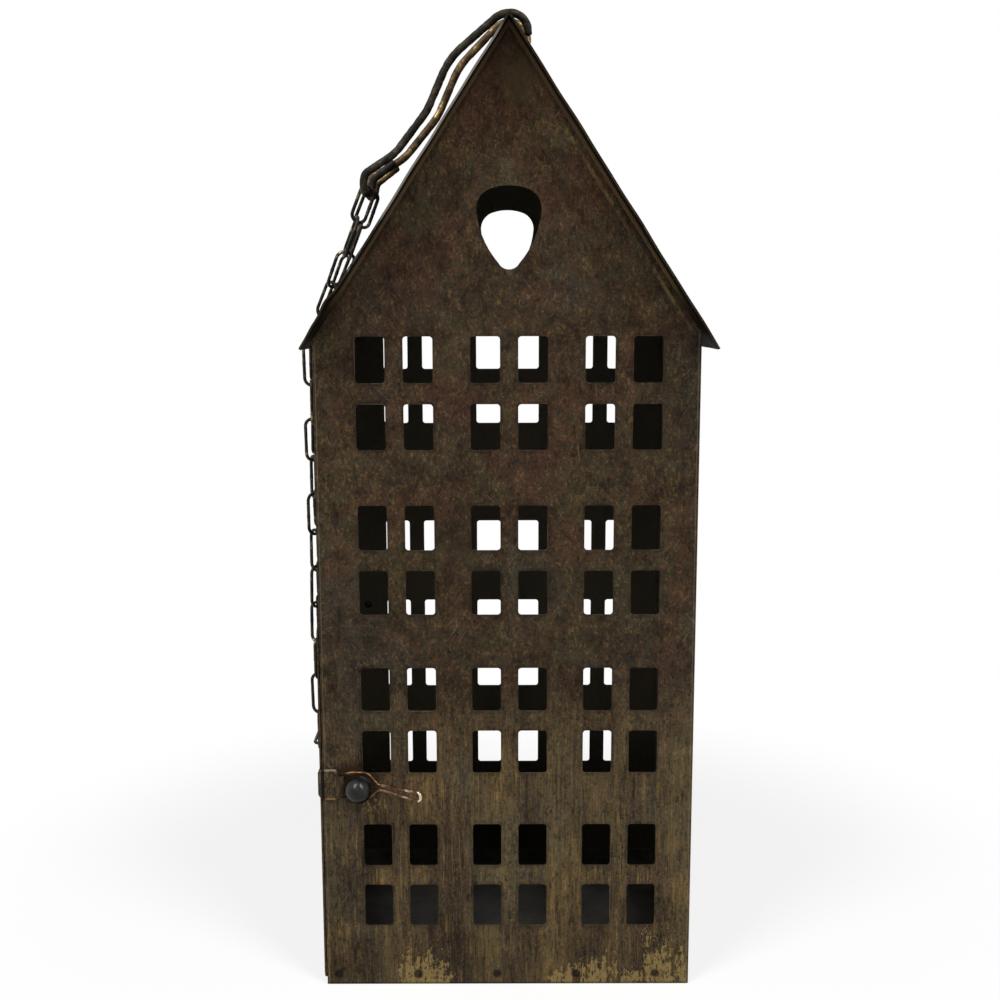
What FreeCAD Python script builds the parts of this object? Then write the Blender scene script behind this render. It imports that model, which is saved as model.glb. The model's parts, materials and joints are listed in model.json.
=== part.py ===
import FreeCAD, Part
import Sketcher
import math
import os
import re
from FreeCAD import Placement, Rotation, Vector

# Punched tin lantern in the shape of a tall narrow house, in millimetres.
# X runs to the right, Y from the front (minus) to the back, Z up. The origin lies in the middle
# of the base, on the surface that the lantern stands on.

# The folded body
BODY_WIDTH = 150.0  # over the outer faces of the side walls
BODY_DEPTH = 120.0  # over the outer faces of the front and the back wall
WALL_SHEET = 0.8  # thickness of the wall sheet
CENTRE_SHIFT = 0.9  # how far the ridge and the windows stand right of the middle
SEAT_GAP = 0.1  # gap where one sheet is seated on another

# The roof
RIDGE_HEIGHT = 383.0  # top of the ridge above the base
EAVE_HEIGHT = 263.0  # outer edge of the eaves above the base
EAVE_OVERHANG = 3.5  # how far the eaves stand out past the side walls
ROOF_OVERHANG = 16.0  # how far the roof stands out past the front and the back wall
ROOF_SHEET = 0.8  # thickness of the roof sheet

# The punched windows, in pairs, four storeys of two rows
WINDOW_WIDTH = 11.5  # width of a window
WINDOW_HEIGHT = 17.9  # height of a window
WINDOW_CORNER = 1.3  # corner radius of a window
PAIR_PITCH = 18.54  # from window to window in a pair
COLUMN_PITCH = 44.56  # from pair to pair
ROW_PITCH = 26.1  # from row to row in a storey
STOREY_PITCH = 65.8  # from storey to storey
FIRST_ROW = 34.9  # middle of the lowest row above the base

# The gable hole
HOLE_WIDTH = 24.8  # widest width of the gable hole
HOLE_LENGTH = 31.4  # height of the gable hole
HOLE_BOTTOM = 292.6  # lower tip of the gable hole above the base

# The floor tray and its spot welds
TRAY_HEIGHT = 5.6  # height of the tray's upturned flange
TRAY_SHEET = 0.8  # thickness of the tray sheet
WELD_HEIGHT = 4.5  # spot welds above the base
WELD_FIRST = 70.0  # first spot weld left of the middle
WELD_PITCH = 32.8  # from spot weld to spot weld
WELD_RADIUS = 1.6  # radius of a spot weld's dimple
WELD_DEPTH = 0.25  # depth of a spot weld's dimple

# The side door and the opening it covers
DOOR_SHEET = 0.8  # thickness of the door
DOOR_GAP = 0.4  # between the door and the wall
DOOR_BOTTOM = 1.0  # lower edge of the door above the base
DOOR_TOP = 153.0  # upper edge of the door above the base
DOOR_FRONT_MARGIN = 0.5  # front edge of the door behind the front face
DOOR_BACK_MARGIN = 2.5  # back edge of the door before the back face
DOOR_CORNER = 5.0  # corner radius of the door
OPENING_MARGIN = 8.0  # how far the door laps over the edge of its opening
OPENING_CORNER = 4.0  # corner radius of the opening

# The hinges
HINGE_UPPER = 133.4  # middle of the upper hinge above the base
HINGE_LOWER = 46.8  # middle of the lower hinge above the base
HINGE_LENGTH = 20.0  # height of a hinge
LEAF_SHEET = 0.7  # thickness of a hinge leaf
LEAF_WIDTH = 13.0  # from the pin to the end of a leaf
PIN_RADIUS = 0.9  # radius of a hinge pin
PIN_CLEARANCE = 0.06  # between a pin and its knuckle
KNUCKLE_GAP = 0.3  # between the knuckles of a hinge
PIN_HEAD_RADIUS = 1.5  # radius of a pin's peened head
PIN_HEAD_HEIGHT = 0.6  # height of a pin's peened head

# The rivets
RIVET_RADIUS = 1.2  # radius of a rivet
RIVET_HEAD_RADIUS = 1.9  # radius of a rivet's head
RIVET_HEAD_HEIGHT = 0.7  # height of a rivet's head
HINGE_RIVET_INSET = 6.8  # hinge rivet from the outer face of the left wall

# The latch
LATCH_HEIGHT = 87.4  # middle of the latch above the base
STRAP_SHEET = 0.8  # thickness of the strap
STRAP_HEIGHT = 12.7  # height of the strap on the front
STRAP_ARM_HEIGHT = 9.0  # height of the strap on the door
STRAP_ARM_LENGTH = 20.0  # length of the strap on the door
STRAP_GAP = 0.5  # between the strap and the front wall
STRAP_CORNER = 1.6  # corner radius of the strap's front end
KNUCKLE_INSET = 7.4  # loop's pivot right of the left wall's outer face
KNUCKLE_HEIGHT = 8.4  # height of the rolled end of the strap
KNUCKLE_NECK = 0.5  # from the strap's end to the middle of its rolled part
LOOP_WIRE = 1.2  # diameter of the loop's wire
LOOP_CLEARANCE = 0.12  # between the loop and the rolled end
LOOP_BAR = 9.8  # height of the loop's straight bar
LOOP_RING_HEIGHT = 13.4  # height of the loop's ring
LOOP_RING_START = 5.0  # from the pivot to where the ring is full height
LOOP_RING_END = 13.7  # from the pivot to where the ring closes in
LOOP_PINCH = 17.0  # from the pivot to the pinch
LOOP_PINCH_HEIGHT = 2.0  # height of the loop at the pinch
LOOP_LENGTH = 33.0  # from the pivot to the end of the loop's tail, along the wall
LOOP_RING_REACH = 1.0  # how far the ring's right side leans out from the wall
LOOP_PINCH_REACH = 2.5  # how far the pinch leans out from the wall
LOOP_TAIL_HEIGHT = 3.9  # height of the loop's tail at its end
LOOP_RING_BEND = 6.0  # bend radius of the ring
LOOP_SMALL_BEND = 1.8  # bend radius of the loop's tight bends
LOOP_REACH = 12.3  # how far the tail's end leans out from the wall
BALL_RADIUS = 5.9  # radius of the latch ball
BALL_INSET = 15.2  # latch ball right of the left wall's outer face
BALL_STANDOFF = 7.5  # middle of the ball before the front wall
BALL_FLAT = 4.9  # flat at the back of the ball, from its middle
STUD_RADIUS = 1.5  # radius of the ball's stud
STUD_COLLAR_RADIUS = 2.4  # radius of the stud's collar
STUD_HEAD_RADIUS = 3.0  # radius of the stud's head inside the wall
STUD_HEAD_HEIGHT = 1.0  # height of the stud's head
STUD_CLEARANCE = 0.05  # between the stud and its hole

# The hooks and the chain
HOOK_WIRE = 3.0  # diameter of the hooks' wire
HOOK_REST_GAP = 0.3  # between a hook and the ridge that it hangs on
HOOK_BEND = 6.6  # radius of the hooks' bend over the ridge, at the wire's middle
HOOK_LENGTH = 64.0  # height of a hook, from its top to its eye
HOOK_REACH = 53.6  # how far a hook's eye stands left of the ridge
EYE_WIDTH = 8.0  # width of a hook's eye, between the middles of the wire
FRONT_HOOK_INSET = 11.0  # front hook behind the roof's front edge
HOOK_PITCH = 15.0  # from hook to hook
CHAIN_WIRE = 1.4  # diameter of the chain's wire
CHAIN_PITCH = 15.8  # from link to link
LINK_WIDTH = 7.5  # outer width of a link
LINK_CLEARANCE = 0.3  # play where two links meet
CHAIN_OFFSET = 4.0  # middle of the hanging chain outside the edge of the eaves
CHAIN_FRONT = 40.0  # front strand behind the front wall's outer face

# The sheet holds each of these sizes under an alias
DRIVING_SIZES = {
    "body_width": BODY_WIDTH, "body_depth": BODY_DEPTH, "wall_sheet": WALL_SHEET,
    "centre_shift": CENTRE_SHIFT, "seat_gap": SEAT_GAP, "ridge_height": RIDGE_HEIGHT,
    "eave_height": EAVE_HEIGHT, "eave_overhang": EAVE_OVERHANG, "roof_overhang": ROOF_OVERHANG,
    "roof_sheet": ROOF_SHEET, "window_width": WINDOW_WIDTH, "window_height": WINDOW_HEIGHT,
    "window_corner": WINDOW_CORNER, "pair_pitch": PAIR_PITCH, "column_pitch": COLUMN_PITCH,
    "row_pitch": ROW_PITCH, "storey_pitch": STOREY_PITCH, "first_row": FIRST_ROW,
    "hole_width": HOLE_WIDTH, "hole_length": HOLE_LENGTH, "hole_bottom": HOLE_BOTTOM,
    "tray_height": TRAY_HEIGHT, "tray_sheet": TRAY_SHEET, "weld_height": WELD_HEIGHT,
    "weld_first": WELD_FIRST, "weld_pitch": WELD_PITCH, "weld_radius": WELD_RADIUS,
    "weld_depth": WELD_DEPTH, "door_sheet": DOOR_SHEET, "door_gap": DOOR_GAP,
    "door_bottom": DOOR_BOTTOM, "door_top": DOOR_TOP, "door_front_margin": DOOR_FRONT_MARGIN,
    "door_back_margin": DOOR_BACK_MARGIN, "door_corner": DOOR_CORNER,
    "opening_margin": OPENING_MARGIN, "opening_corner": OPENING_CORNER, "hinge_upper": HINGE_UPPER,
    "hinge_lower": HINGE_LOWER, "hinge_length": HINGE_LENGTH, "leaf_sheet": LEAF_SHEET,
    "leaf_width": LEAF_WIDTH, "pin_radius": PIN_RADIUS, "pin_clearance": PIN_CLEARANCE,
    "knuckle_gap": KNUCKLE_GAP, "pin_head_radius": PIN_HEAD_RADIUS,
    "pin_head_height": PIN_HEAD_HEIGHT, "rivet_radius": RIVET_RADIUS,
    "rivet_head_radius": RIVET_HEAD_RADIUS, "rivet_head_height": RIVET_HEAD_HEIGHT,
    "hinge_rivet_inset": HINGE_RIVET_INSET, "latch_height": LATCH_HEIGHT,
    "strap_sheet": STRAP_SHEET, "strap_height": STRAP_HEIGHT, "strap_arm_height": STRAP_ARM_HEIGHT,
    "strap_arm_length": STRAP_ARM_LENGTH, "strap_gap": STRAP_GAP, "strap_corner": STRAP_CORNER,
    "knuckle_inset": KNUCKLE_INSET, "knuckle_height": KNUCKLE_HEIGHT, "knuckle_neck": KNUCKLE_NECK,
    "loop_wire": LOOP_WIRE, "loop_clearance": LOOP_CLEARANCE, "loop_bar": LOOP_BAR,
    "loop_ring_height": LOOP_RING_HEIGHT, "loop_ring_start": LOOP_RING_START,
    "loop_ring_end": LOOP_RING_END, "loop_pinch": LOOP_PINCH,
    "loop_pinch_height": LOOP_PINCH_HEIGHT, "loop_length": LOOP_LENGTH,
    "loop_tail_height": LOOP_TAIL_HEIGHT, "loop_ring_bend": LOOP_RING_BEND,
    "loop_small_bend": LOOP_SMALL_BEND, "loop_reach": LOOP_REACH,
    "loop_ring_reach": LOOP_RING_REACH, "loop_pinch_reach": LOOP_PINCH_REACH,
    "ball_radius": BALL_RADIUS,
    "ball_inset": BALL_INSET, "ball_standoff": BALL_STANDOFF, "ball_flat": BALL_FLAT,
    "stud_radius": STUD_RADIUS, "stud_collar_radius": STUD_COLLAR_RADIUS,
    "stud_head_radius": STUD_HEAD_RADIUS, "stud_head_height": STUD_HEAD_HEIGHT,
    "stud_clearance": STUD_CLEARANCE, "hook_wire": HOOK_WIRE, "hook_rest_gap": HOOK_REST_GAP,
    "hook_bend": HOOK_BEND, "hook_length": HOOK_LENGTH, "hook_reach": HOOK_REACH,
    "eye_width": EYE_WIDTH, "front_hook_inset": FRONT_HOOK_INSET, "hook_pitch": HOOK_PITCH,
    "chain_wire": CHAIN_WIRE, "chain_pitch": CHAIN_PITCH, "link_width": LINK_WIDTH,
    "link_clearance": LINK_CLEARANCE, "chain_offset": CHAIN_OFFSET, "chain_front": CHAIN_FRONT,
}
doc = FreeCAD.newDocument("punched_tin_lantern")
sheet = doc.addObject("Spreadsheet::Sheet", "Sizes")
aliases = list(DRIVING_SIZES)
for row, alias in enumerate(aliases, start=1):
    sheet.set("A%d" % row, alias.replace("_", " "))
    sheet.set("B%d" % row, str(DRIVING_SIZES[alias]))
    sheet.setAlias("B%d" % row, alias)
doc.recompute()

# Counts of repeated things
ROW_COUNT = 2
STOREY_COUNT = 4
COLUMN_COUNT = 3
PAIR_COUNT = 2
WELD_COUNT = 5
HANGING_LINK_COUNT = 11

# Slope of the roof and the heights that follow from it, as expressions on the sheet
HALF_SPAN = "(body_width / 2 + eave_overhang)"
SLOPE = "((ridge_height - eave_height) / %s)" % HALF_SPAN
STEEPNESS = "sqrt(1 + %s * %s)" % (SLOPE, SLOPE)
WALL_APEX = "(ridge_height - roof_sheet * %s - seat_gap)" % STEEPNESS
INNER_HALF = "(body_width / 2 - wall_sheet)"
LEFT_TOP = "(%s - %s * (body_width / 2 + centre_shift))" % (WALL_APEX, SLOPE)
RIGHT_TOP = "(%s - %s * (body_width / 2 - centre_shift))" % (WALL_APEX, SLOPE)


def value(expression):
    """The number that an expression on the sheet's aliases gives."""
    result = sheet.evalExpression(expression)
    return float(getattr(result, "Value", result))


def bound(expression):
    """The same expression as another object of the document has to write it."""
    def prefix(match):
        word = match.group(0)
        return "Sizes." + word if word in aliases else word
    return re.sub(r"[a-z_]+", prefix, expression)


# Helpers for sketched sheet parts

def new_body(label):
    """A body for one sheet piece, under the piece's own name."""
    body = doc.addObject("PartDesign::Body", label)
    body.Label = label
    return body


def origin_plane(body, role):
    """One of the body's own three planes."""
    for feature in body.Origin.OriginFeatures:
        if feature.Role == role:
            return feature
    raise RuntimeError("no plane " + role)


def origin_axis(body, role):
    """One of the body's own three axes."""
    for feature in body.Origin.OriginFeatures:
        if feature.Role == role:
            return feature
    raise RuntimeError("no axis " + role)


def arc_between(start, end, radius, bulge):
    """A circular arc between two points. A bulge of 1 leaves it on the right of the way along."""
    chord = end - start
    middle = (start + end) * 0.5
    half = chord.Length / 2
    height = math.sqrt(max(radius * radius - half * half, 0.0))
    left = Vector(-chord.y, chord.x, 0).normalize()
    centre = middle + left * height * bulge
    first = math.atan2(start.y - centre.y, start.x - centre.x)
    last = math.atan2(end.y - centre.y, end.x - centre.x)
    circle = Part.Circle(centre, Vector(0, 0, 1), radius)
    if bulge > 0:
        return Part.ArcOfCircle(circle, first, last), True
    return Part.ArcOfCircle(circle, last, first), False


def outline(body, label, role, offset, corners):
    """A closed sketch. Each corner is (x, y) for a straight side to the next corner, or
    (x, y, radius, bulge) for an arc to it. Places and radii are expressions on the sheet."""
    sketch = body.newObject("Sketcher::SketchObject", label)
    sketch.AttachmentSupport = [(origin_plane(body, role), "")]
    sketch.MapMode = "FlatFace"
    sketch.setExpression("AttachmentOffset.Base.z", bound(offset))
    points = [Vector(value(corner[0]), value(corner[1]), 0) for corner in corners]
    start_end = []
    for index, corner in enumerate(corners):
        start = points[index]
        end = points[(index + 1) % len(points)]
        if len(corner) == 2:
            geometry = sketch.addGeometry(Part.LineSegment(start, end), False)
            start_end.append((geometry, 1, 2))
        else:
            arc, forward = arc_between(start, end, value(corner[2]), corner[3])
            geometry = sketch.addGeometry(arc, False)
            start_end.append((geometry, 1, 2) if forward else (geometry, 2, 1))
    for index, corner in enumerate(corners):
        geometry, start, end = start_end[index]
        following = start_end[(index + 1) % len(corners)]
        joint = Sketcher.Constraint("Coincident", geometry, end, following[0], following[1])
        sketch.addConstraint(joint)
    for index, corner in enumerate(corners):
        geometry, start, end = start_end[index]
        for kind, expression in (("DistanceX", corner[0]), ("DistanceY", corner[1])):
            number = sketch.addConstraint(
                Sketcher.Constraint(kind, -1, 1, geometry, start, value(expression)))
            sketch.setExpression("Constraints[%d]" % number, bound(expression))
        if len(corner) > 2:
            number = sketch.addConstraint(
                Sketcher.Constraint("Radius", geometry, value(corner[2])))
            sketch.setExpression("Constraints[%d]" % number, bound(corner[2]))
    return sketch


def rounded(low_x, low_y, high_x, high_y, radius):
    """The corners of a rectangle with rounded corners, anticlockwise."""
    return [
        ("%s + %s" % (low_x, radius), low_y),
        ("%s - %s" % (high_x, radius), low_y, radius, 1),
        (high_x, "%s + %s" % (low_y, radius)),
        (high_x, "%s - %s" % (high_y, radius), radius, 1),
        ("%s - %s" % (high_x, radius), high_y),
        ("%s + %s" % (low_x, radius), high_y, radius, 1),
        (low_x, "%s - %s" % (high_y, radius)),
        (low_x, "%s + %s" % (low_y, radius), radius, 1),
    ]


def pad(body, label, sketch, length):
    """Gives a sketch its thickness, along the sketch's own normal."""
    feature = body.newObject("PartDesign::Pad", label)
    feature.Profile = sketch
    feature.setExpression("Length", bound(length))
    sketch.Visibility = False
    return feature


def cut_through(body, label, sketch):
    """Punches a sketch through the whole piece, both ways."""
    feature = body.newObject("PartDesign::Pocket", label)
    feature.Profile = sketch
    feature.Type = 1
    feature.Midplane = True
    return feature


def repeat(body, label, role, length, count):
    """One direction of a pattern: how far its last copy lies, and how many there are."""
    pattern = body.newObject("PartDesign::LinearPattern", label)
    pattern.Direction = (origin_axis(body, role), [""])
    pattern.setExpression("Length", bound(length))
    pattern.Occurrences = count
    return pattern


def circles(body, label, role, offset, places, radius):
    """A sketch of equal circles. Places and the radius are expressions on the sheet."""
    sketch = body.newObject("Sketcher::SketchObject", label)
    sketch.AttachmentSupport = [(origin_plane(body, role), "")]
    sketch.MapMode = "FlatFace"
    sketch.setExpression("AttachmentOffset.Base.z", bound(offset))
    for x, y in places:
        centre = Vector(value(x), value(y), 0)
        circle = Part.Circle(centre, Vector(0, 0, 1), value(radius))
        geometry = sketch.addGeometry(circle, False)
        for kind, expression in (("DistanceX", x), ("DistanceY", y)):
            number = sketch.addConstraint(
                Sketcher.Constraint(kind, -1, 1, geometry, 3, value(expression)))
            sketch.setExpression("Constraints[%d]" % number, bound(expression))
        number = sketch.addConstraint(Sketcher.Constraint("Radius", geometry, value(radius)))
        sketch.setExpression("Constraints[%d]" % number, bound(radius))
    return sketch


# Gable walls: a flat sheet with a pointed top, punched with windows and one gable hole

HOLE_SHOULDER_SHARES = (0.27, 0.965)
HOLE_WIDEST_SHARE = 0.71
HOLE_TIP_SHARES = (0.16, 0.076)
HOLE_TOP_BEND_SHARE = 0.87
HOLE_SIDE_BEND_SHARE = 0.32
HOLE_FLANK_BEND_SHARE = 1.4
HOLE_TIP_BEND_SHARE = 0.182
RIVET_HOLE = "(rivet_radius + stud_clearance)"
HINGE_HEIGHTS = ("hinge_upper", "hinge_lower")


def hole_corners():
    """The gable hole: a wide round top that narrows to a small round tip below."""
    def place(x_share, z_share):
        return ("centre_shift + %g * hole_width" % x_share,
                "hole_bottom + %g * hole_length" % z_share)
    shoulder, shoulder_height = HOLE_SHOULDER_SHARES
    tip, tip_height = HOLE_TIP_SHARES
    top = "%g * hole_width" % HOLE_TOP_BEND_SHARE
    side = "%g * hole_width" % HOLE_SIDE_BEND_SHARE
    flank = "%g * hole_width" % HOLE_FLANK_BEND_SHARE
    bottom = "%g * hole_width" % HOLE_TIP_BEND_SHARE
    return [
        place(-tip, tip_height) + (bottom, 1),
        place(tip, tip_height) + (flank, 1),
        place(0.5, HOLE_WIDEST_SHARE) + (side, 1),
        place(shoulder, shoulder_height) + (top, 1),
        place(-shoulder, shoulder_height) + (side, 1),
        place(-0.5, HOLE_WIDEST_SHARE) + (flank, 1),
    ]


def gable_wall(label, plane, blank_plane, inward):
    """A gable wall. Its plane is where its outer face lies, in front of the middle."""
    body = new_body(label)
    corners = [
        ("-" + INNER_HALF, "0"), (INNER_HALF, "0"),
        (INNER_HALF, "%s - %s * (%s - centre_shift)" % (WALL_APEX, SLOPE, INNER_HALF)),
        ("centre_shift", WALL_APEX),
        ("-" + INNER_HALF, "%s - %s * (%s + centre_shift)" % (WALL_APEX, SLOPE, INNER_HALF)),
    ]
    blank = outline(body, label + "_blank", "XZ_Plane", blank_plane, corners)
    pad(body, label + "_panel", blank, "wall_sheet")
    doc.recompute()
    cut_through(body, label + "_hole", outline(
        body, label + "_hole_shape", "XZ_Plane", plane, hole_corners()))
    welds = circles(body, label + "_weld_shape", "XZ_Plane", plane,
                    [("-weld_first", "weld_height")], "weld_radius")
    dimple = body.newObject("PartDesign::Pocket", label + "_weld")
    dimple.Profile = welds
    dimple.setExpression("Length", bound("weld_depth"))
    dimple.Reversed = inward
    doc.recompute()
    row = body.newObject("PartDesign::LinearPattern", label + "_welds")
    row.Originals = [dimple]
    row.Direction = (origin_axis(body, "X_Axis"), [""])
    row.setExpression("Length", bound("%d * weld_pitch" % (WELD_COUNT - 1)))
    row.Occurrences = WELD_COUNT
    body.Tip = row
    doc.recompute()
    left = "centre_shift - column_pitch - pair_pitch / 2 - window_width / 2"
    low = "first_row - window_height / 2"
    window = outline(body, label + "_window_shape", "XZ_Plane", plane, rounded(
        left, low, left + " + window_width", low + " + window_height", "window_corner"))
    punch = cut_through(body, label + "_window", window)
    doc.recompute()
    windows = body.newObject("PartDesign::MultiTransform", label + "_windows")
    windows.Originals = [punch]
    windows.Transformations = [
        repeat(body, label + "_pair", "X_Axis", "pair_pitch", PAIR_COUNT),
        repeat(body, label + "_columns", "X_Axis",
               "%d * column_pitch" % (COLUMN_COUNT - 1), COLUMN_COUNT),
        repeat(body, label + "_rows", "Z_Axis", "row_pitch", ROW_COUNT),
        repeat(body, label + "_storeys", "Z_Axis",
               "%d * storey_pitch" % (STOREY_COUNT - 1), STOREY_COUNT),
    ]
    body.Tip = windows
    doc.recompute()
    return body


BALL_X = "(ball_inset - body_width / 2)"

front_wall = gable_wall("front_wall", "body_depth / 2", "body_depth / 2 - wall_sheet", False)
cut_through(front_wall, "stud_hole", circles(
    front_wall, "stud_hole_shape", "XZ_Plane", "body_depth / 2",
    [(BALL_X, "latch_height")], "stud_radius + stud_clearance"))

back_wall = gable_wall("back_wall", "-body_depth / 2", "-body_depth / 2", True)
cut_through(back_wall, "hinge_rivet_holes", circles(
    back_wall, "hinge_rivet_hole_shape", "XZ_Plane", "-body_depth / 2",
    [("hinge_rivet_inset - body_width / 2", height) for height in HINGE_HEIGHTS], RIVET_HOLE))


# Side walls: plain sheets between base and roof, the left one with the door opening

def side_wall(label, outer_plane, top):
    """A plain side wall, as deep as the body, with its sheet edges seen from the front."""
    body = new_body(label)
    corners = [
        ("-body_depth / 2", "0"), ("body_depth / 2", "0"),
        ("body_depth / 2", top), ("-body_depth / 2", top),
    ]
    pad(body, label + "_panel", outline(
        body, label + "_blank", "YZ_Plane", outer_plane, corners), "wall_sheet")
    doc.recompute()
    return body


DOOR_FRONT = "(door_front_margin - body_depth / 2)"
DOOR_BACK = "(body_depth / 2 - door_back_margin)"
DOOR_FACE = "(body_width / 2 + door_gap + door_sheet)"

right_wall = side_wall("right_wall", "body_width / 2 - wall_sheet", RIGHT_TOP)
left_wall = side_wall("left_wall", "-body_width / 2", LEFT_TOP)
cut_through(left_wall, "door_opening", outline(
    left_wall, "door_opening_shape", "YZ_Plane", "-body_width / 2", rounded(
        DOOR_FRONT + " + opening_margin", "door_bottom + opening_margin",
        DOOR_BACK + " - opening_margin", "door_top - opening_margin", "opening_corner")))


# Roof: one sheet folded along the ridge, resting on the gable walls and the side walls

roof = new_body("roof")
ROOF_LEFT = "centre_shift - " + HALF_SPAN
ROOF_RIGHT = "centre_shift + " + HALF_SPAN
INSET_X = "roof_sheet * %s / %s" % (SLOPE, STEEPNESS)
INSET_Z = "roof_sheet / %s" % STEEPNESS
pad(roof, "folded_sheet", outline(
    roof, "roof_section", "XZ_Plane", "-body_depth / 2 - roof_overhang", [
        (ROOF_LEFT, "eave_height"),
        (ROOF_LEFT + " + " + INSET_X, "eave_height - " + INSET_Z),
        ("centre_shift", "ridge_height - roof_sheet * " + STEEPNESS),
        (ROOF_RIGHT + " - " + INSET_X, "eave_height - " + INSET_Z),
        (ROOF_RIGHT, "eave_height"),
        ("centre_shift", "ridge_height"),
    ]), "body_depth + 2 * roof_overhang")


# Floor tray: a shallow tray inside the foot of the walls, spot-welded to them by its flange

base_tray = new_body("base_tray")
TRAY_X = "(%s - seat_gap)" % INNER_HALF
TRAY_Y = "(body_depth / 2 - wall_sheet - seat_gap)"
pad(base_tray, "tray_block", outline(base_tray, "tray_shape", "XY_Plane", "0", [
    ("-" + TRAY_X, "-" + TRAY_Y), (TRAY_X, "-" + TRAY_Y), (TRAY_X, TRAY_Y), ("-" + TRAY_X, TRAY_Y),
]), "tray_height")
doc.recompute()
TRAY_IN_X = "(%s - tray_sheet)" % TRAY_X
TRAY_IN_Y = "(%s - tray_sheet)" % TRAY_Y
hollow = base_tray.newObject("PartDesign::Pocket", "tray_hollow")
hollow.Profile = outline(base_tray, "tray_hollow_shape", "XY_Plane", "tray_height", [
    ("-" + TRAY_IN_X, "-" + TRAY_IN_Y), (TRAY_IN_X, "-" + TRAY_IN_Y),
    (TRAY_IN_X, TRAY_IN_Y), ("-" + TRAY_IN_X, TRAY_IN_Y),
])
hollow.setExpression("Length", bound("tray_height - tray_sheet"))


# Door: a flat sheet with round corners that laps over the opening from outside

STRAP_MIDDLE = "latch_height"
STRAP_RIVET_SHARES = (0.33, 0.75)
STRAP_RIVETS = ["%s + %g * strap_arm_length" % (DOOR_FRONT, share) for share in STRAP_RIVET_SHARES]
BARREL = "(pin_radius + pin_clearance + leaf_sheet)"
PIN_X = "(-%s - %s)" % (DOOR_FACE, BARREL)
PIN_Y = "(body_depth / 2 + %s)" % BARREL
RIVET_REACH = "(hinge_rivet_inset - body_width / 2 - %s)" % PIN_X

door = new_body("door")
pad(door, "door_sheet_metal", outline(door, "door_shape", "YZ_Plane", "-" + DOOR_FACE, rounded(
    DOOR_FRONT, "door_bottom", DOOR_BACK, "door_top", "door_corner")), "door_sheet")
doc.recompute()
cut_through(door, "door_rivet_holes", circles(
    door, "door_rivet_hole_shape", "YZ_Plane", "-" + DOOR_FACE,
    [("%s - %s" % (PIN_Y, RIVET_REACH), height) for height in HINGE_HEIGHTS]
    + [(place, STRAP_MIDDLE) for place in STRAP_RIVETS], RIVET_HOLE))


# Latch strap: riveted to the door, bent round the front corner, rolled round the loop's bar

strap = new_body("latch_strap")
ARM_OUT = "(%s + strap_sheet)" % DOOR_FACE
FRONT_IN = "(body_depth / 2 + strap_gap)"
FRONT_OUT = "(%s + strap_sheet)" % FRONT_IN
INNER_BEND = "(strap_gap + door_front_margin)"
OUTER_BEND = "(%s + strap_sheet)" % INNER_BEND
ROLL_BORE = "(loop_wire / 2 + loop_clearance)"
ROLL_OUT = "(%s + strap_sheet)" % ROLL_BORE
ROLL_X = "(knuckle_inset - body_width / 2)"
ROLL_Y = "(-%s - %s)" % (FRONT_IN, ROLL_OUT)
ARM_END = "(%s + strap_arm_length)" % DOOR_FRONT
STRAP_LOW = "latch_height - strap_height / 2"
pad(strap, "strap_blank", outline(strap, "strap_section", "XY_Plane", STRAP_LOW, [
    ("-" + ARM_OUT, ARM_END),
    ("-" + ARM_OUT, "%s - %s" % (OUTER_BEND, FRONT_OUT), OUTER_BEND, 1),
    ("%s - %s" % (OUTER_BEND, ARM_OUT), "-" + FRONT_OUT),
    (ROLL_X, "-" + FRONT_OUT),
    (ROLL_X, "-" + FRONT_IN),
    ("%s - %s" % (INNER_BEND, DOOR_FACE), "-" + FRONT_IN, INNER_BEND, -1),
    ("-" + DOOR_FACE, "%s - %s" % (INNER_BEND, FRONT_IN)),
    ("-" + DOOR_FACE, ARM_END),
]), "strap_height")
doc.recompute()
pad(strap, "strap_roll", circles(
    strap, "strap_roll_shape", "XY_Plane", "latch_height - knuckle_height / 2",
    [(ROLL_X, ROLL_Y)], ROLL_OUT), "knuckle_height")
doc.recompute()
cut_through(strap, "strap_roll_bore", circles(
    strap, "strap_bore_shape", "XY_Plane", STRAP_LOW, [(ROLL_X, ROLL_Y)], ROLL_BORE))
doc.recompute()
cut_through(strap, "strap_rivet_holes", circles(
    strap, "strap_rivet_hole_shape", "YZ_Plane", "-" + ARM_OUT,
    [(place, STRAP_MIDDLE) for place in STRAP_RIVETS], RIVET_HOLE))
doc.recompute()
NECK_X = "(%s - knuckle_neck)" % ROLL_X
BEYOND = "strap_height"
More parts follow.
